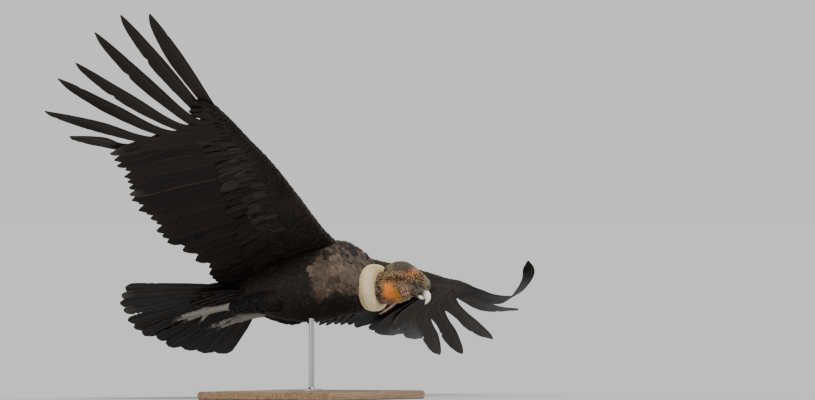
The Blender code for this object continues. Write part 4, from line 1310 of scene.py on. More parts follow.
    def coverts(self, sheet: WingSheet) -> Stock:
        """The coverts of one face of the wing, tier by tier.

        Args:
            sheet: That face.

        Returns:
            The piece's webs.
        """
        rng, upper = self.rng, sheet.face > 0
        stock = Stock(rng)
        long_form = FeatherForm(stations=10, columns=5, sink=0.003, lift=0.0062, arch=0.06,
                                thickness=0.0007, tilt=0.12)
        middle_form = FeatherForm(stations=9, columns=5, sink=0.003, lift=0.006, arch=0.07,
                                  tilt=0.12)
        small_form = FeatherForm(stations=6, sink=0.0022, lift=0.0026, tilt=0.1)
        for form, root, length, width, pitch in (
                (long_form, 0.86, 0.138, 0.05, 0.0265), (middle_form, 0.66, 0.098, 0.042, 0.0225),
                (middle_form, 0.48, 0.074, 0.034, 0.019)):
            outs = np.arange(0.048, 0.965, pitch) + rng.uniform(-0.002, 0.002, 1)
            outs = outs + rng.uniform(-0.15, 0.15, len(outs)) * pitch
            taper = 1 - 0.42 * step(outs, 0.7, 0.97)
            lengths = length * taper * rng.uniform(0.9, 1.08, len(outs))
            white = np.where(upper & (form is long_form) & (outs < 0.7), 0.62, 0.0)
            # On the under face a few coverts get a faint pale wash, a painted sheen on the wing's lining.
            if not upper:
                white = np.where((outs > 0.22) & (outs < 0.74) & (rng.random(len(outs)) < 0.5), 0.028, 0.0)
            self.row(stock, sheet, form, outs, PLAN.flesh_chord(outs) * root, lengths,
                     width * taper, white * rng.uniform(0.5, 1.1, len(outs)))
        for k, start in enumerate((0.003, 0.01, 0.018, 0.027, 0.037, 0.048, 0.06, 0.073, 0.088)):
            length = 0.026 + 0.34 * start
            pitch = 0.0105 + 0.06 * start
            outs = np.arange(0.036 + (k % 2) * pitch / 2, 0.975, pitch)
            outs = outs[start < PLAN.flesh_chord(outs) * 0.56]
            outs = outs + rng.uniform(-0.25, 0.25, len(outs)) * pitch
            behind = start + rng.uniform(-0.0022, 0.0022, len(outs))
            lengths = length * (1 - 0.25 * step(outs, 0.75, 0.97)) * rng.uniform(0.85, 1.15, len(outs))
            self.row(stock, sheet, small_form, outs, np.maximum(behind, 0.0015), lengths,
                     lengths * 0.62, 0 * outs)
        if upper:
            self.edging(stock, EdgeSheet(sheet.side, 1))
        return stock

    def edging(self, stock: Stock, sheet: EdgeSheet) -> None:
        """The small coverts that run out along the leading edge.

        Args:
            stock: The piece that takes them.
            sheet: The leading edge.
        """
        rng = self.rng
        form = FeatherForm(sink=0.002, lift=0.0024, tilt=0.0)
        for k, place in enumerate((-0.011, -0.0066, -0.0022, 0.0022, 0.0066, 0.011)):
            outs = np.arange(0.05 + 0.0055 * (k % 2), 0.95, 0.011)
            outs = outs + rng.uniform(-0.0025, 0.0025, len(outs))
            around = place + rng.uniform(-0.001, 0.001, len(outs))
            lengths = rng.uniform(0.022, 0.031, len(outs)) * (1 - 0.2 * step(outs, 0.7, 0.95))
            lean = pi / 2 - 45 * around + rng.normal(0, 0.07, len(outs))
            tone = self.mottled(sheet.at(outs, around), 0.12)
            form.lay(stock, sheet, outs, around, lean, lengths, lengths * 0.52, {"tone": tone})

    def row(self, stock: Stock, sheet: WingSheet, form: FeatherForm, outs: Array, behind: Array,
            lengths: Array, widths: Array, white: Array) -> None:
        """Lays one tier of coverts, rooted out from the midline and behind the leading edge."""
        form.lay(stock, sheet, outs, behind, self.lean(outs) + self.rng.normal(0, 0.055, len(outs)), lengths,
                 widths, {"tone": self.mottled(sheet.at(outs, behind), 0.11), "pale": white})

    def mottled(self, places: Array, depth: float) -> Array:
        """How brown the coverts are at places, in soft patches of a depth."""
        brown = 0.5 + 0.5 * noise(places, 0.055, 5)
        return np.clip(0.03 + depth * brown ** 2 + self.rng.uniform(-0.03, 0.06, len(places)), 0, 1)


def coat_tone(points: Array) -> Array:
    """How brown the coat is at places of the trunk: the breast and shoulders are, the rest is black.

    Args:
        points: Places in the bird's frame.

    Returns:
        A number from 0, black, to 1, brown.
    """
    back, high = points[..., 1], points[..., 2]
    edge = 0.052 + 0.014 * noise(points, 0.04, 3) - 0.05 * step(high, 0.01, 0.12)
    front = (1 - step(back - edge, -0.008, 0.012)) * step(high, -0.108, -0.078)
    border = bell(back - edge, -0.012, 0.01)
    shoulder = step(high, 0.01, 0.06)
    mottle = 0.5 + 0.5 * noise(points, 0.03, 9)
    streak = 0.5 + 0.5 * noise(points * np.array((1.0, 0.45, 1.0)), 0.012, 4)
    tone = 0.26 + 0.46 * mottle * (1 - 0.5 * shoulder) + 0.7 * (streak - 0.5) + 0.35 * border
    off = 0.78 * (back + 0.009) - 0.63 * (high - 0.046)
    down = -0.63 * (back + 0.009) - 0.78 * (high - 0.046)
    fold = bell(off, 0.0, 0.007) * step(down, -0.01, 0.01) * (1 - step(down, 0.075, 0.095))
    return np.clip(front * (tone - 0.2 * shoulder + 0.45 * fold), 0.0, 1.0)


@dataclass
class BodyFeathers:
    """Contour feathers of the trunk, thighs and tail root."""

    plumage: Material
    pitch: float = 0.0128

    def build(self) -> None:
        """Builds the pieces."""
        rng = np.random.default_rng(5)
        self.trunk(rng)
        self.thighs(rng)

    def trunk(self, rng: Random) -> None:
        """Lays the feathers of the trunk, from the neck back to the rump.

        Args:
            rng: Source of random draws.
        """
        sheet, stock = TrunkSheet(), Stock(rng)
        form = FeatherForm(stations=6, sink=0.003, lift=0.005, arch=0.14, curl=0.25)
        backs = np.arange(-0.122, 0.425, self.pitch * 0.86)
        for k, back in enumerate(backs):
            girth = 2 * pi * float(sheet.half_width(back) + sheet.rise(back)) / 2
            number = max(int(girth / self.pitch), 12)
            turn = staggered(number, k, rng)
            behind = back + rng.uniform(-0.3, 0.3, number) * self.pitch
            length = (0.034 + 0.026 * step(behind, -0.12, 0.1)) * rng.uniform(0.8, 1.2, number)
            width = length * (0.5 + 0.06 * step(behind, 0.0, 0.2))
            places = sheet.at(turn, behind)
            tone = coat_tone(places + np.array((0, 1.0, 0)) * 0.4 * length[:, None])
            tone = np.clip(tone + rng.normal(0, 0.07, number) * (tone > 0.08) + 0.02, 0, 1)
            tone = np.where((rng.random(number) < 0.16) & (tone > 0.3), np.minimum(tone + 0.3, 1.0), tone)
            form.lay(stock, sheet, turn, behind, rng.normal(0, 0.13, number), length, width, {"tone": tone})
        settle(stock.make("body_feathers"), self.plumage, "brown_plumage")

    def thighs(self, rng: Random) -> None:
        """Lays the loose dark feathers of the thighs."""
        form = FeatherForm(stations=6, sink=0.002, lift=0.006, arch=0.12, curl=0.5)
        for word, limb in THIGHS.items():
            stock = Stock(rng)
            for k, share in enumerate(np.linspace(-0.04, 0.9, 21)):
                radius = float(limb.radius(share))
                number = max(int(2 * pi * radius / 0.0095), 9)
                turn = staggered(number, k, rng)
                along = share + rng.uniform(-0.045, 0.045, number)
                length = rng.uniform(0.04, 0.066, number) * (1 - 0.35 * share)
                length = np.minimum(length, (1.0 - along) * limb.length * 0.96)
                form.lay(stock, limb, turn, along, rng.normal(0, 0.24, number), length, length * 0.4,
                         {"tone": rng.uniform(0.0, 0.12, number)})
            settle(stock.make(f"{word}_thigh_feathers"), self.plumage, "black_plumage", f"{word}_thigh")


HIP, KNEE = np.array((0.066, 0.19, -0.04)), np.array((0.07, 0.255, -0.052))
ANKLES = {"right": np.array((-0.07, 0.44, -0.04)), "left": np.array((0.03, 0.35, -0.048))}


def thigh_sheet(word: str, side: int) -> LimbSheet:
    """The surface of a thigh.

    Args:
        word: right or left.
        side: -1 or 1.

    Returns:
        The surface.
    """
    mirror = np.array((side, 1, 1))
    hip, knee, ankle = HIP * mirror, KNEE * mirror, ANKLES[word]
    points = [hip, hip + (knee - hip) * 0.6, knee, knee + (ankle - knee) * 0.35,
              knee + (ankle - knee) * 0.72, ankle]
    widths = (0.027, 0.039, 0.041, 0.035, 0.023, 0.014)
    return LimbSheet(Line(points), even(widths), 0.27)


THIGHS = {"right": thigh_sheet("right", -1), "left": thigh_sheet("left", 1)}


@dataclass
class Tail:
    """The fan of tail feathers and the coverts over and under its root."""

    plumage: Material
    feathers: int = 12
    root_back: float = 0.4
    root_height: float = 0.048
    spread: float = radians(42.0)
    turn: float = radians(1.5)
    half_width: float = 0.066
    length: float = 0.452
    droop: float = 0.17
    feather_width: float = 0.078

    def build(self) -> None:
        """Builds the fan and its coverts."""
        rng = np.random.default_rng(8)
        fan, coverts = Stock(rng), Stock(rng)
        for number in range(self.feathers):
            self.rectrix(number, rng).add_to(fan, number, self.feathers)
        settle(fan.make("tail_feathers"), self.plumage, "black_plumage", "tail")
        self.coverts(coverts)
        settle(coverts.make("tail_coverts"), self.plumage, "black_plumage")

    def coverts(self, stock: Stock) -> None:
        """The coverts over and under the tail's root.

        Args:
            stock: The piece that takes them.
        """
        outline = Profile(((0.0, 0.5), (0.45, 1.0), (0.82, 0.86), (1.0, 0.16)))
        tiers = ((11, 0.165, 0.435, 0.052), (10, 0.13, 0.415, 0.05), (9, 0.1, 0.392, 0.046),
                 (8, 0.08, 0.368, 0.042))
        places = [(layer, tier, share, face) for layer, tier in enumerate(tiers)
                  for share in np.linspace(-1, 1, tier[0]) for face in (1, -1)]
        for lane, (layer, (_, length, back, width), share, face) in enumerate(places):
            turn = share * 0.6
            rise = self.root_height - 0.008 + face * (0.0085 + 0.0055 * layer) - 0.004 * abs(share)
            length = length * stock.rng.uniform(0.92, 1.08)
            shaft = self.shaft((share * 0.06, back, rise), turn, length, 0.005 * face)
            quill = Quill(shaft, steady(cos(turn), -sin(turn), 0.05), outline * width, 0.5, 1.0, stations=9,
                          notches=0, shaft=0.0007, thickness=(0.0008, 0.0004), camber=0.22 * face, tone=0.05)
            quill.add_to(stock, lane, len(places))

    def shaft(self, root: Place, turn: float, length: float, sag: float = 0.0) -> Shaft:
        """The line of a feather at a turn from straight back, whose end sags below a straight one."""
        way = np.array((sin(turn), cos(turn), -self.droop * cos(turn)))
        return lambda t: np.array(root) + way * (length * t)[..., None] - UP * (sag * t ** 2)[..., None]

    def rectrix(self, number: int, rng: Random) -> Quill:
        """A tail feather.

        Args:
            number: 0 for the outermost on the right.
            rng: Source of random draws.

        Returns:
            The feather.
        """
        middle = (self.feathers - 1) / 2
        share = (number - middle) / middle
        turn = share * self.spread - self.turn + (-0.048 if number <= 3 else 0.004)
        layer = -0.003 * abs(share) * self.feathers / 2 - (0.0016 if share > 0 else 0.0)
        root = (share * self.half_width, self.root_back, self.root_height + layer)
        length = self.length * (1 - (0.03 if share < 0 else 0.09) * share * share) * rng.uniform(0.955, 1.012)
        sign = 1 if share > 0 else -1
        outer = steady(cos(turn) * sign, -sin(turn) * sign, 0.03)
        width = Profile(((0.0, 0.2), (0.38, 0.92), (0.84, 1.06), (0.94, 1.0), (0.975, 0.78), (1.0, 0.22)))
        return Quill(self.shaft(root, turn, length), outer, width * self.feather_width, 0.42,
                     float(sign), notches=5, camber=0.03)


@dataclass
class Ruff:
    """The collar of white down, in two pieces, the hind half and the fore one."""

    down: Material
    tufts: int = 6900
    length: float = 0.026
    width: float = 0.0023

    def build(self) -> None:
        """Builds the locks of both halves."""
        rng = np.random.default_rng(17)
        sheet = RuffSheet()
        form = FeatherForm(TUFT_OUTLINE, stations=4, columns=2, thickness=0.0006, sink=0.0015, lift=0.0062,
                           arch=0.0, tilt=0.7, curl=0.9)
        for name, low, high, way in (("hind", -0.98, 0.12, pi), ("fore", -0.1, 1.34, 0.0)):
            stock = Stock(rng)
            u = rng.uniform(0, 2 * pi, self.tufts)
            v = rng.uniform(low, high, self.tufts)
            swirl = 0.35 * noise(sheet.at(u, v), 0.03, 88)
            lean = way + swirl + rng.normal(0, 0.3, self.tufts)
            length = self.length * rng.uniform(0.7, 1.2, self.tufts) * (1 - 0.35 * v ** 2)
            form.lay(stock, sheet, u, v, lean, length, np.full(self.tufts, self.width), {})
            nodes = ("ruff",) if name == "hind" else ()
            settle(stock.make(f"ruff_{name}_down"), self.down, "white_down", *nodes)


# Flesh: closed forms that are fused into one skin


@dataclass
class Clay:
    """Closed forms that are gathered and then fused into one smooth mesh."""

    points: list[Array] = field(default_factory=list)
    faces: list[tuple[int, ...]] = field(default_factory=list)
    count: int = 0

    def loft(self, rings: Array | list[Array]) -> "Clay":
        """Adds a closed form through rings of points.

        Args:
            rings: Ring by ring, point by point.

        Returns:
            This clay.
        """
        rings = np.asarray(rings)
        number, around = rings.shape[:2]
        ends = np.stack([rings[0].mean(0), rings[-1].mean(0)])
        self.points.append(np.concatenate([rings.reshape(-1, 3), ends]))
        grid = self.count + np.arange(number * around).reshape(number, around)
        beside = np.roll(grid, -1, 1)
        quads = np.stack([grid[:-1], beside[:-1], beside[1:], grid[1:]], -1)
        self.faces += quads.reshape(-1, 4).tolist()
        first, last = self.count + number * around, self.count + number * around + 1
        for a, b, c, d in np.stack([grid[0], beside[0], grid[-1], beside[-1]], -1).tolist():
            self.faces += [(first, b, a), (last, c, d)]
        self.count += number * around + 2
        return self

    def sheet(self, surface: Sheet, u: Array, v: Array) -> "Clay":
        """Adds the closed form that a surface goes round."""
        return self.loft(surface.at(u[None, :], v[:, None]))

    def tube(self, points: Sequence[Array], radii: Sequence[float], flat: float = 1.0, steps: int = 5,
             around: int = 14) -> "Clay":
        """Adds a bent round limb.

        Args:
            points: Points on its middle line.
            radii: Its half width at each.
            flat: Height over width of its section.
            steps: Rings to each span.
            around: Points to each ring.

        Returns:
            This clay.
        """
        share = np.linspace(0, 1, (len(points) - 1) * steps + 1)
        line = Line(points)
        centre = line(share)
        radius = even(radii)(share)[:, None, None]
        ahead = unit(line(np.minimum(share + 0.02, 1)) - line(np.maximum(share - 0.02, 0)))
        side = unit(np.cross(ahead, np.array((0.02, 0.03, 1.0))))
        over = np.cross(side, ahead)
        turn = turn_ring(around, 0.0)
        ring = (side[:, None] * np.cos(turn)[None, :, None]
                + over[:, None] * (flat * np.sin(turn))[None, :, None]) * radius
        return self.loft(centre[:, None] + ring)

    def mesh(self, name: str, marks: Marks, turn: Matrix = Matrix()) -> Mesh:
        """The forms as one smooth mesh whose faces all look outward.

        Args:
            name: The mesh's name.
            marks: Numbers that it holds for each point, by name.
            turn: How it is carried.

        Returns:
            The mesh.
        """
        mesh = bpy.data.meshes.new(name)
        mesh.from_pydata(moved(np.concatenate(self.points), turn).tolist(), [], self.faces)
        shape = bmesh.new()
        shape.from_mesh(mesh)
        bmesh.ops.recalc_face_normals(shape, faces=shape.faces)
        shape.to_mesh(mesh)
        shape.free()
        return marked(mesh, marks)

    def fused(self, name: str, voxel: float, smooth: int) -> tuple[Array, Array, Array]:
        """Fuses the forms.

        Args:
            name: Name of the mesh while it is made.
            voxel: Size of the fused mesh's grid.
            smooth: Rounds of smoothing.

        Returns:
            Its points, its faces and its outward unit vectors.
        """
        obj = new_object(self.mesh(name, {}))
        remesh = obj.modifiers.new("fuse", "REMESH")
        remesh.mode, remesh.voxel_size, remesh.adaptivity = "VOXEL", voxel, 0.0
        relax = obj.modifiers.new("relax", "SMOOTH")
        relax.factor, relax.iterations = 0.5, smooth
        bpy.context.view_layer.update()
        done = obj.evaluated_get(bpy.context.evaluated_depsgraph_get()).data
        points, out = np.zeros((2, len(done.vertices) * 3), np.float32)
        done.vertices.foreach_get("co", points)
        done.vertex_normals.foreach_get("vector", out)
        faces = np.zeros(len(done.polygons) * 4, np.int32)
        done.polygons.foreach_get("vertices", faces)
        bpy.data.objects.remove(obj, do_unlink=True)
        return points.reshape(-1, 3).astype(float), faces.reshape(-1, 4), out.reshape(-1, 3).astype(float)


def oval(centre: Array, side: Array, up: Array, half: float, rise: float, drop: float, around: int) -> Array:
    """A ring of points, half as wide to its side, with its own rise above its middle and drop below it."""
    sine, cosine = np.sin(turn_ring(around, 0.0))[:, None], np.cos(turn_ring(around, 0.0))[:, None]
    return centre + side * (half * cosine) + up * (sine * np.where(sine > 0, rise, drop))


# Middle of the left eye in the head's frame, and its radius
EYE_PLACE = (0.0312, -0.012, 0.01)
EYE_RADIUS = 0.0088
SKIN_MARKS = ("bare", "tone", "pale", "orange", "olive", "pink", "grey", "lobe", "crease_shade")


@dataclass
class Skin:
    """The one skin of the bird, from the folds of the head to the root of the tail."""

    hide: Material
    coat_depth: float = 0.0035
    body_voxel: float = 0.005
    head_voxel: float = 0.00105

    def build(self) -> None:
        """Builds the skin as one piece."""
        body, body_faces, _ = self.body().fused("body_clay", self.body_voxel, 2)
        head, head_faces, out = self.head().fused("head_clay", self.head_voxel, 3)
        head, masks = self.folded(head, out)
        marks = {name: np.zeros(len(body) + len(head)) for name in SKIN_MARKS}
        marks["tone"][:len(body)] = coat_tone(body) * (np.abs(body[:, 0]) < 0.14)
        centre, axis, _, _ = RuffSheet().axes()
        ahead = (body - centre) @ axis
        around = np.linalg.norm(body - centre - ahead[:, None] * axis, axis=1)
        marks["pale"][:len(body)] = step(ahead, -0.03, -0.024) * (1 - step(around, 0.08, 0.085))
        for name, values in masks.items():
            marks[name][len(body):] = values
        faces = np.concatenate([body_faces, head_faces + len(body)])
        skin = mesh_from("condor_skin", np.concatenate([body, head]), faces, marks)
        settle(skin, self.hide, "bare_skin", "torso", "neck", "head", "comb", "wattle")

    def body(self) -> Clay:
        """The feathered part of the body, inside the solids by the coat's depth.

        Returns:
            The forms.
        """
        clay = Clay()
        around = np.linspace(0, 2 * pi, 48, endpoint=False)
        clay.sheet(TrunkSheet(inset=self.coat_depth), around, np.linspace(-0.124, 0.432, 60))
        ruff = RuffSheet()
        centre, axis, side, up = ruff.axes()
        places = np.linspace(-0.95, 0.95, 14)
        core = [centre + axis * float(ruff.ahead(p)) for p in places]
        halves = ruff.radius(places) - 0.0015
        clay.loft([oval(spot, side, up, half, half, half, 48) for spot, half in zip(core, halves)])
        for sign in (-1, 1):
            rings = []
            turn = turn_ring(28)
            share, face = 0.5 - 0.5 * np.cos(turn), np.sign(np.sin(turn))
            for out in np.linspace(0.05, 0.965, 70):
                chord = float(PLAN.flesh_chord(out))
                depth = PLAN.thickness(np.full(len(turn), out), chord * share)
                inset = np.maximum(depth - self.coat_depth * 0.5, 0.0022) * face
                back = float(PLAN.front(out)) + 0.0008 + (chord - 0.004) * share
                rings.append(PLAN.on(sign, np.full(len(turn), out), back, inset))
            clay.loft(rings)
        for limb in THIGHS.values():
            clay.sheet(limb, around[::3], np.linspace(0.0, 1.0, 16))
        return clay.loft([
            oval(np.array((0, back, height)), LEFTWARD, UP, half, deep, deep, 24)
            for back, height, half, deep in ((0.35, 0.04, 0.06, 0.031), (0.4, 0.038, 0.062, 0.026),
                                             (0.435, 0.034, 0.064, 0.018), (0.462, 0.029, 0.056, 0.009))])

    def head(self) -> Clay:
        """The head with its comb, lids and wattle, and the neck.

        Returns:
            The forms.
        """
        clay = Clay()
        rows = (
            (0.086, -0.06, 0.05, 0.0545, 0.0535, 34), (0.064, -0.051, 0.0555, 0.06, 0.059, 28),
            (0.04, -0.033, 0.051, 0.056, 0.053, 20), (0.02, -0.019, 0.046, 0.053, 0.049, 12),
            (0.0, -0.008, 0.04, 0.047, 0.043, 5), (-0.018, -0.004, 0.034, 0.0385, 0.036, 0),
            (-0.034, -0.004, 0.0275, 0.03, 0.03, 0), (-0.048, -0.006, 0.0215, 0.0225, 0.024, 0),
            (-0.06, -0.008, 0.016, 0.016, 0.0175, 0))
        rings = []
        for back, height, half, rise, drop, lean in Line(rows)(np.linspace(0, 1, 40)):
            up = np.array((0, sin(radians(lean)), cos(radians(lean))))
            rings.append(oval(np.array((0, back, height)), LEFTWARD, up, half, rise, drop, 48))
        clay.loft(rings)
        self.neck_rings(clay)
        for side in (-1, 1):
            mirror = np.array((side, 1, 1))
            for points, radii in FOLDS:
                clay.tube(np.array(points) * mirror, radii, steps=8)
            self.lids(clay, side)
        self.comb(clay)
        self.wattle(clay)
        return clay

    def neck_rings(self, clay: Clay) -> None:
        """Adds the neck, from inside the ruff to the back of the head.

        Args:
            clay: Takes the forms.
        """
        start = np.array(HEAD_TURN.inverted() @ Vector((0, -0.07, -0.04)))
        joint, nape = np.array((0.0, 0.06, -0.049)), np.array((0, 0.45, 0.9))
        way = unit(joint - start)
        up = unit(nape - way * np.dot(way, nape))
        side = unit(np.cross(up, way))
        rings = []
        for t in np.linspace(0, 1, 22):
            half = 0.0495 + 0.006 * t
            rings.append(oval(start + (joint - start) * t, side, up, half, half + 0.003, half + 0.003, 40))
        clay.loft(rings)

    def lids(self, clay: Clay, side: int) -> None:
        """Adds the swollen lids and the brow round an eye.

        Args:
            clay: Takes the forms.
            side: 1 for the left eye and -1 for the right.
        """
        eye = np.array(EYE_PLACE) * np.array((side, 1, 1))
        outward = unit(np.array((side * 1.0, -0.25, 0.12)))
        fore = unit(np.array((0, -1.0, 0)) - outward * -outward[1])
        up = np.cross(outward, fore) * -side
        up = up if up[2] > 0 else -up
        turn = np.linspace(0, 2 * pi, 25)
        ring = [eye + outward * (0.0052 + 0.0008 * cos(2 * a)) + fore * (0.0104 * cos(a))
                + up * (0.008 * sin(a)) for a in turn]
        clay.tube(ring, (0.0026, 0.0026), steps=2, around=10)
        brow = [eye + outward * 0.004 + fore * (0.015 * cos(a)) + up * (0.0125 * sin(a))
                for a in np.linspace(0.15, pi - 0.15, 9)]
        clay.tube(brow, 0.0034 * np.sin(np.linspace(0.35, pi - 0.35, 9)), steps=3, around=10)

    def comb(self, clay: Clay) -> None:
        """Adds the comb, a fleshy keel from the cere to the back of the head.

        Args:
            clay: Takes the forms.
        """
        rings = []
        turn = turn_ring(32)
        height = np.sin(turn)
        for number, (back, foot, top, half) in enumerate(Line(COMB)(np.linspace(0, 1, 60))):
            middle, tall = (foot + top) / 2, (top - foot) / 2
            swell = half * (1.05 + 0.3 * np.clip(-height, 0, 1) - 0.1 * height)
            wave = 1 + 0.07 * sin(number * 0.9)
            rings.append(np.stack([swell * wave * np.sign(np.cos(turn)) * np.abs(np.cos(turn)) ** 0.8,
                                   np.full(len(turn), back), middle + tall * height], -1))
        clay.loft(rings)

    def wattle(self, clay: Clay) -> None:
        """Adds the throat's wattle and the strip of skin that hangs from it.

        Args:
            clay: Takes the forms.
        """
        turn = turn_ring(24)
        rings = []
        for t in np.linspace(0, 1, 26):
            back, root = -0.03 + 0.078 * t, -0.026 - 0.034 * t
            hang = 0.02 + 0.022 * sin(pi * min(1.0, t * 1.02)) ** 0.8
            wide = 0.0075 + 0.005 * sin(pi * t) + 0.0009 * sin(t * 44)
            height = root - hang / 2 + hang / 2 * np.sin(turn)
            rings.append(np.stack([wide * np.cos(turn), np.full(len(turn), back), height], -1))
        clay.loft(rings)
        strip = ((-0.004, 0.008, -0.074), (-0.009, 0.015, -0.1), (-0.013, 0.028, -0.126),
                 (-0.015, 0.04, -0.147))
        clay.tube(strip, (0.0085, 0.0075, 0.0062, 0.003), flat=0.55, steps=8)

    def folded(self, points: Array, out: Array) -> tuple[Array, Marks]:
        """Works the folds, bulbs and creases into the bare skin, and colours it, with painted shade in the
        creases.

        Args:
            points: Places in the head's frame.
            out: Outward unit vectors.

        Returns:
            The worked places in the bird's frame, and the masks of the colours.
        """
        x, y, z = np.abs(points[:, 0]), points[:, 1], points[:, 2]
        fore = -cos(HEAD_DOWN) * y + sin(HEAD_DOWN) * z
        deep = -sin(HEAD_DOWN) * y - cos(HEAD_DOWN) * z
        warp = 0.0046 * np.stack([noise(points, 0.013, 60 + k) for k in range(3)], -1)
        level = np.stack([x, fore, deep], -1)
        wavy = noise(points, 0.03, 71) * 0.006
        neck = 1 - step(fore + 0.1 * np.abs(deep - 0.02) + 1.6 * wavy + 0.8 * warp[:, 0], -0.094, -0.062)
        band = 1 - step(np.abs(deep + 0.02 + wavy), 0.019, 0.028)
        band = band * (1 - step(fore, 0.06, 0.074)) * (1 - neck)
        comb = (1 - step(deep + wavy, -0.049, -0.04)) * (1 - neck)
        lobe = step(fore, 0.058, 0.074) * (1 - step(deep, 0.004, 0.014))
        cheek = np.clip(1 - neck - band - comb - lobe, 0, 1)
        spots = level + warp
        worms, ribs = lumps(spots, 0.0088, 31, (0.8, 1.25, 0.62)), lumps(spots, 0.0078, 33, (1, 0.26, 1))
        grains, pebbles = lumps(spots, 0.0044, 37), lumps(spots, 0.0068, 39)
        folds = np.sin((fore + 1.4 * warp[:, 1] + 0.1 * deep) * 2 * pi / 0.0088)
        front = bell(fore, 0.006, 0.016) * step(deep, 0.002, 0.014)
        height = neck * (0.0042 * raised(ribs) + 0.0006 * grains)
        height = height + band * (0.0046 * raised(worms) + 0.0007 * grains)
        soft = noise(points + warp, 0.0065, 6)
        height = height + (comb + lobe) * (0.0007 * raised(pebbles) + 0.0011 * soft)
        height = height + cheek * (0.0006 * raised(grains) + 0.0017 * front * folds + 0.0012 * soft
                                   + 0.0005 * raised(pebbles))
        gape = self.near_line(points, (
            (0.015, -0.064, -0.0148), (0.0235, -0.046, -0.0155), (0.033, -0.024, -0.0175)))
        mouth = np.exp(-(gape / 0.0016) ** 2)
        nostril = np.exp(-(((x - 0.021) / 0.005) ** 2 + ((y + 0.048) / 0.0052) ** 2
                           + ((z - 0.003) / 0.0024) ** 2))
        eye = np.array(EYE_PLACE) * np.where(points < 0, (-1.0, 1.0, 1.0), 1.0)
        open_eye = step(np.linalg.norm(points - eye, axis=1), 0.0125, 0.0185)
        height = height * (0.12 + 0.88 * open_eye) - 0.0022 * mouth - 0.004 * nostril
        worked = points + out * height[:, None]
        away = worked - eye
        far = np.linalg.norm(away, axis=1, keepdims=True)
        seat = eye + away / np.maximum(far, 1e-6) * EYE_RADIUS * 0.94
        worked = np.where(far < EYE_RADIUS * 1.05, seat, worked)
        # Painted shade in the crevices between the ribs, worms and lumps, in the hollows of the soft relief,
        # in the troughs of the folds and in a band across the cheek
        crease_shade = (neck * (1 - step(ribs, 0.1, 0.62)) + band * (1 - step(worms, 0.06, 0.46))
                  + (comb + lobe) * (0.3 * (1 - step(pebbles, 0.0, 0.3)) + 0.4 * step(-soft, 0.25, 0.7))
                  + cheek * (0.25 * (1 - step(grains, 0.0, 0.3)) + 0.6 * step(-soft, 0.3, 0.75)
                             + 0.9 * front * step(-folds, 0.35, 0.95)
                             + 0.8 * bell(fore, 0.026, 0.009) * bell(deep, 0.045, 0.03)))
        patch = bell(fore + wavy, -0.053, 0.021) * bell(deep, 0.031, 0.027)
        chin = bell(deep, 0.082, 0.014) * (1 - step(fore, 0.0, 0.02))
        brow = bell(fore, 0.022, 0.017) * bell(deep, -0.036, 0.014)
        ends = 1 - step(fore, -0.066, -0.05) + step(fore, 0.036, 0.06)
        masks = {
            "bare": np.ones(len(points)),
            "orange": 1.6 * patch * (1 - 0.7 * neck) + 0.38 * brow + 0.1 * band * (fore > -0.02),
            "olive": (1.5 * bell(fore, -0.029, 0.01) * bell(deep, 0.045, 0.018)
                      + 0.3 * band * bell(fore, -0.07, 0.03)),
            "pink": (1.3 * front * bell(deep, 0.036, 0.032) + 0.6 * chin + 0.3 * brow
                     + step(deep, 0.096, 0.106)),
            "grey": (comb * (1 - 0.75 * step(fore, 0.01, 0.03)) * 0.95
                     + cheek * (bell(deep, 0.004, 0.014) * 0.75 + bell(fore, 0.042, 0.014) * 0.9)),
            "lobe": lobe + 0.6 * band * step(fore, 0.024, 0.05) + comb * ends,
            # painted shade, weaker round the eyes, and in the gape and the nostrils
            "crease_shade": crease_shade * (0.35 + 0.65 * open_eye) + mouth + nostril}
        masks = {name: np.clip(values, 0, 1) for name, values in masks.items()}
        return moved(worked, HEAD_TURN), masks

    def near_line(self, points: Array, corners: Rows) -> Array:
        """Distance from a bent line on either side of the head.

        Args:
            points: Places in the head's frame.
            corners: The line's points on the left side.

        Returns:
            The distances.
        """
        folded = points * np.where(points < 0, (-1.0, 1.0, 1.0), 1.0)
        nearest = np.full(len(points), 1.0)
        for start, end in zip(corners, corners[1:]):
            start, run = np.array(start), np.array(end) - np.array(start)
            share = np.clip((folded - start) @ run / np.dot(run, run), 0, 1)
            nearest = np.minimum(nearest, np.linalg.norm(folded - start - share[:, None] * run, axis=1))
        return nearest


# Ridges of folded skin on one side of the head: points of the middle line and half widths
FOLDS = (
    (((0.0185, -0.046, 0.01), (0.0265, -0.034, 0.022), (0.033, -0.016, 0.026), (0.0405, 0.004, 0.022),
      (0.046, 0.026, 0.012), (0.0495, 0.049, -0.003), (0.049, 0.071, -0.015)),
     (0.0035, 0.0055, 0.007, 0.007, 0.0075, 0.007, 0.004)),
    (((0.032, -0.008, -0.014), (0.0365, -0.008, -0.028), (0.03, -0.006, -0.042)), (0.004, 0.0062, 0.0035)),
    (((0.0405, 0.01, -0.01), (0.045, 0.012, -0.028), (0.04, 0.016, -0.048)), (0.004, 0.0066, 0.004)),
    (((0.019, -0.05, -0.018), (0.024, -0.034, -0.026), (0.025, -0.016, -0.038), (0.024, 0.004, -0.052)),
     (0.003, 0.005, 0.0055, 0.0035)))
# Outline of the comb over the skull: back, foot, top, half thickness
COMB = (
    (-0.08, 0.012, 0.03, 0.005), (-0.0755, 0.008, 0.041, 0.0085), (-0.062, 0.01, 0.05, 0.0105),
    (-0.042, 0.012, 0.0545, 0.012), (-0.018, 0.015, 0.059, 0.0125), (0.005, 0.018, 0.0635, 0.0125),
    (0.03, 0.015, 0.0655, 0.012), (0.05, 0.01, 0.0625, 0.0115), (0.07, 0.002, 0.054, 0.011),
    (0.088, -0.008, 0.042, 0.01), (0.102, -0.01, 0.026, 0.008), (0.108, -0.006, 0.012, 0.005))


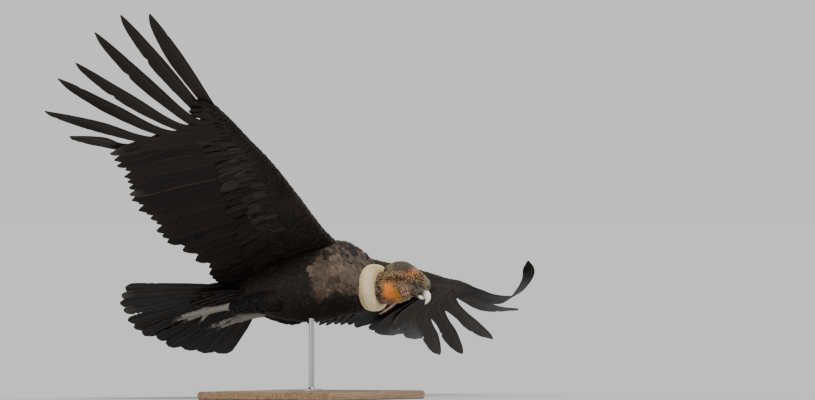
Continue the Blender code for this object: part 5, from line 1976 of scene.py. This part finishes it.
@dataclass
class Bill:
    """The hooked upper bill and the shorter lower one."""

    horn: Material
    upper: Rows = (
        (-0.05, 0.001, 0.0165, 0.014, 0.0), (-0.064, 0.002, 0.0158, 0.0135, 0.0),
        (-0.078, 0.001, 0.0142, 0.013, -0.15), (-0.09, -0.005, 0.0115, 0.0115, -0.6),
        (-0.096, -0.015, 0.0082, 0.009, -1.15), (-0.0965, -0.026, 0.005, 0.0056, -1.55),
        (-0.0945, -0.0355, 0.0012, 0.0014, -1.7))
    lower: Rows = (
        (-0.05, -0.0202, 0.015, 0.007, 0.0), (-0.064, -0.02, 0.0136, 0.0078, 0.0),
        (-0.0745, -0.0194, 0.01, 0.0066, 0.1), (-0.0815, -0.0184, 0.004, 0.003, 0.25))

    def build(self) -> None:
        """Builds both halves."""
        settle(self.half("upper_bill", self.upper, 0.8), self.horn, "ivory_horn", "bill_upper")
        settle(self.half("lower_bill", self.lower, 1.0), self.horn, "ivory_horn", "bill_lower")

    def half(self, name: str, rows: Rows, keel: float) -> Mesh:
        """One half of the bill.

        Args:
            name: The mesh's name.
            rows: Back, height, half width, half height and lean of its sections.
            keel: How round the section is; less than 1 draws its ridge to a keel.

        Returns:
            The mesh.
        """
        turn, shares = turn_ring(48), np.linspace(0, 1, 56)
        cosine, sine = np.cos(turn), np.sin(turn)
        edge = 1 + 0.1 * bell(sine, -0.75, 0.2)
        rings = []
        for back, height, half, tall, lean in Line(rows)(shares):
            up = np.array((0, sin(lean), cos(lean)))
            wide = half * np.sign(cosine) * np.abs(cosine) ** (0.9 if keel < 1 else 1.0)
            wide = wide * (1 - (1 - keel) * np.clip(sine, 0, 1) ** 2)
            rings.append(np.array((0, back, height)) + LEFTWARD * (wide * edge)[:, None]
                         + up * (tall * sine)[:, None])
        runs = np.concatenate([np.repeat(shares, len(turn)), [0.0, 1.0]])
        return Clay().loft(rings).mesh(name, {"run": runs}, HEAD_TURN)


@dataclass
class Eyes:
    """Both eyes, each a ball with a clear bulge."""

    finish: Material

    def build(self) -> None:
        """Builds the eyes."""
        for word, side in (("right", -1), ("left", 1)):
            settle(self.eye(f"{word}_eye", side), self.finish, "eye", f"eye_{word}")

    def eye(self, name: str, side: int) -> Mesh:
        """One eye.

        Args:
            name: The mesh's name.
            side: 1 for the left and -1 for the right.

        Returns:
            The mesh.
        """
        outward = unit(np.array((side * 1.0, -0.25, 0.12)))
        first = unit(np.cross(outward, UP))
        second = np.cross(outward, first)
        lean = np.linspace(0.03, pi - 0.03, 30)
        turn = turn_ring(40)
        bulge = 1 + 0.07 * np.exp(-(lean / 0.5) ** 2)
        way = (outward * np.cos(lean)[:, None, None]
               + (first * np.cos(turn)[:, None] + second * np.sin(turn)[:, None])[None]
               * np.sin(lean)[:, None, None])
        centre = np.array(EYE_PLACE) * np.array((side, 1, 1))
        rings = centre + way * (EYE_RADIUS * bulge)[:, None, None]
        ring = np.concatenate([np.repeat(np.sin(np.minimum(lean, 1.57)), len(turn)), [0.0, 1.0]])
        return Clay().loft(rings).mesh(name, {"ring": ring}, HEAD_TURN)


@dataclass
class Feet:
    """The bare shanks and toes, laid back under the tail, and their claws."""

    scales: Material
    claw: Material
    tarsus: float = 0.112
    toes: tuple[tuple[str, float, float, float, float], ...] = (
        ("inner", -0.13, 0.03, 0.08, 0.0118), ("middle", 0.0, 0.0, 0.118, 0.0122),
        ("outer", 0.13, 0.02, 0.09, 0.0116), ("hind", -0.5, 0.16, 0.042, 0.0082))
    claw_length: float = 0.026

    def build(self) -> None:
        """Builds both feet and their claws."""
        for word, side in (("right", -1), ("left", 1)):
            clay, claws = Clay(), Clay()
            ankle = ANKLES[word]
            start = ankle - np.array((0, 0.022, 0))
            end = ankle + np.array((0, self.tarsus - 0.01, 0.004))
            shares = np.array((0.0, 0.12, 0.3, 0.55, 0.8, 1.0, 1.12))
            radii = (0.0126, 0.014, 0.0118, 0.0112, 0.0126, 0.016, 0.0118)
            clay.tube(start + (end - start) * shares[:, None], radii, steps=6, around=24)
            for kind, turn, down, length, thick in self.toes:
                self.toe(clay, claws, end, kind, turn * side, down, length, thick, side)
            points, faces, out = clay.fused("foot_clay", 0.0011, 3)
            scale = lumps(points, 0.0052, 41, (1.0, 0.75, 1.0), 2.6)
            scutes = np.sin(points[:, 1] * 2 * pi / 0.0058)
            top = step(-out[:, 2], 0.25, 0.75)
            height = 0.0005 * (scale - 0.5) * (1 - top) + 0.0005 * scutes * top
            # Painted shade in the gaps between the scales and in the grooves between the scutes.
            crease_shade = (1 - step(scale, 0.05, 0.3)) * (1 - top) + top * step(-scutes, 0.55, 0.95)
            foot = mesh_from(f"{word}_foot_skin", points + out * height[:, None], faces,
                             {"crease_shade": np.clip(crease_shade, 0, 1) * 0.8})
            settle(foot, self.scales, "leg_scales", f"{word}_foot")
            run = np.full(claws.count, 0.5)
            settle(claws.mesh(f"{word}_claws", {"run": run}), self.claw, "leg_scales")

    def toe(self, clay: Clay, claws: Clay, end: Array, kind: str, turn: float, down: float, length: float,
            thick: float, side: int) -> None:
        """One toe and its claw.

        Args:
            clay: Takes the toe.
            claws: Takes the claw.
            end: End of the shank.
            kind: Which toe.
            turn: Its angle from straight back.
            down: How much it slopes down.
            length: Its length.
            thick: Its half width.
            side: 1 for the left foot and -1 for the right.
        """
        if kind == "hind":
            root = end + np.array((-side * 0.006, -0.01, -0.006))
        else:
            root = end + np.array((sin(turn) * 0.03, -0.004, -0.001))
        ahead = np.array((sin(turn), cos(turn), -sin(down)))
        shares = np.linspace(0, 1, 9)
        points = root + ahead * (length * shares)[:, None]
        points[:, 2] -= 0.006 * shares ** 2
        radii = thick * (0.96 - 0.3 * shares) * np.where(np.arange(len(shares)) % 2 == 0, 1.0, 0.8)
        clay.tube(points, radii, steps=4, around=18)
        run = np.linspace(-0.15, 1, 9)
        claw = points[-1] + ahead * (self.claw_length * run)[:, None]
        claw[:, 2] -= 0.013 * run ** 2 * np.sign(run) - 0.001
        claws.tube(claw, thick * 0.58 * (1.02 - np.clip(run, 0, 1)) ** 0.8, steps=3, around=14)


@dataclass
class Stand:
    """The display stand, whose solids stay and take their finish."""

    wood: Material
    steel: Material

    def dress(self) -> None:
        """Gives the board and the rod their finishes."""
        for name, material in (("stand_base", self.wood), ("stand_rod", self.steel)):
            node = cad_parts[name]
            node.data.materials.clear()
            node.data.materials.append(material)


@dataclass
class Studio:
    """The pale floor, the soft lights and the camera at the photo's angle."""

    azimuth: float = radians(-62.8)
    distance: float = 50.0
    frame_width: float = 2.934
    aim_right: float = 0.225
    aim_up: float = 0.288
    floor_radius: float = 400.0
    pale: Colour = (0.8, 0.795, 0.79)

    def build(self) -> None:
        """Builds the floor, the lights and the camera."""
        self.world()
        self.floor()
        self.lights()
        self.camera()

    def axes(self) -> tuple[Vector, Vector]:
        """Directions towards the camera and to its right."""
        back = Vector((sin(self.azimuth), -cos(self.azimuth), 0))
        return back, Vector((-back.y, back.x, 0))

    def camera(self) -> None:
        """Sets the camera."""
        back, right = self.axes()
        data = bpy.data.cameras.new("camera")
        data.sensor_width = 36.0
        data.lens = data.sensor_width * self.distance / self.frame_width
        data.clip_start, data.clip_end = 1.0, 1000.0
        camera = new_object(data)
        aim = BODY_PLACE + right * self.aim_right + Vector((0, 0, self.aim_up))
        camera.location = aim + back * self.distance
        camera.rotation_euler = (pi / 2, 0, atan2(back.x, -back.y))
        bpy.context.scene.camera = camera

    def floor(self) -> None:
        """A wide plain floor."""
        turn = turn_ring(96)
        points = np.stack([np.cos(turn), np.sin(turn), 0 * turn], -1) * self.floor_radius
        mesh = mesh_from("floor", points, np.arange(len(turn))[None], {})
        shader = Shader("floor_paint", Specular_IOR_Level=0.0)
        shade = shader.grain(0.5, 1.0) * 0.02 + 0.98
        mesh.materials.append(shader.finish(shader.mix(shade, (0.5, 0.5, 0.5), (0.565, 0.565, 0.56)), 0.9))
        new_object(mesh)

    def world(self) -> None:
        """Even pale light from all round."""
        world = bpy.data.worlds.new("studio")
        world.use_nodes = True
        background = world.node_tree.nodes["Background"]
        background.inputs[0].default_value = (*self.pale, 1.0)
        background.inputs[1].default_value = 1.0
        bpy.context.scene.world = world

    def lights(self) -> None:
        """A soft key from high on the camera's right, and a weak one from behind it to the left."""
        back, right = self.axes()
        up = Vector((0, 0, 1))
        for name, place, strength, spread in (("key", back * 0.9 + right * 0.5 + up * 1.2, 2.5, 24.0),
                                              ("fill", back * 0.8 - right * 0.9 + up * 0.25, 0.55, 50.0)):
            data = bpy.data.lights.new(name, "SUN")
            data.energy, data.angle = strength, radians(spread)
            light = new_object(data)
            light.location = BODY_PLACE + place * 4
            light.rotation_euler = place.to_track_quat("Z", "Y").to_euler()


def main() -> None:
    """Builds the studio, the bird and its stand, piece by piece."""
    logging.basicConfig(level=logging.INFO, format="%(message)s")
    Studio().build()
    plumage = Plumage().make()
    Skin(Hide().make()).build()
    for wing in Wing:
        WingFeathers(wing, plumage).build()
    Tail(plumage).build()
    BodyFeathers(plumage).build()
    Ruff(Down().make()).build()
    Bill(Horn("ivory_horn", (0.045, 0.042, 0.04), (0.82, 0.77, 0.64), 0.24, 0.5).make()).build()
    Eyes(WetEye().make()).build()
    claw = Horn("claw_horn", (0.02, 0.018, 0.016), (0.1, 0.09, 0.08), 0.2, 1.2)
    Feet(Scales().make(), claw.make()).build()
    Stand(OiledWood().make(), BrushedSteel().make()).dress()


if __name__ == "__main__":
    main()
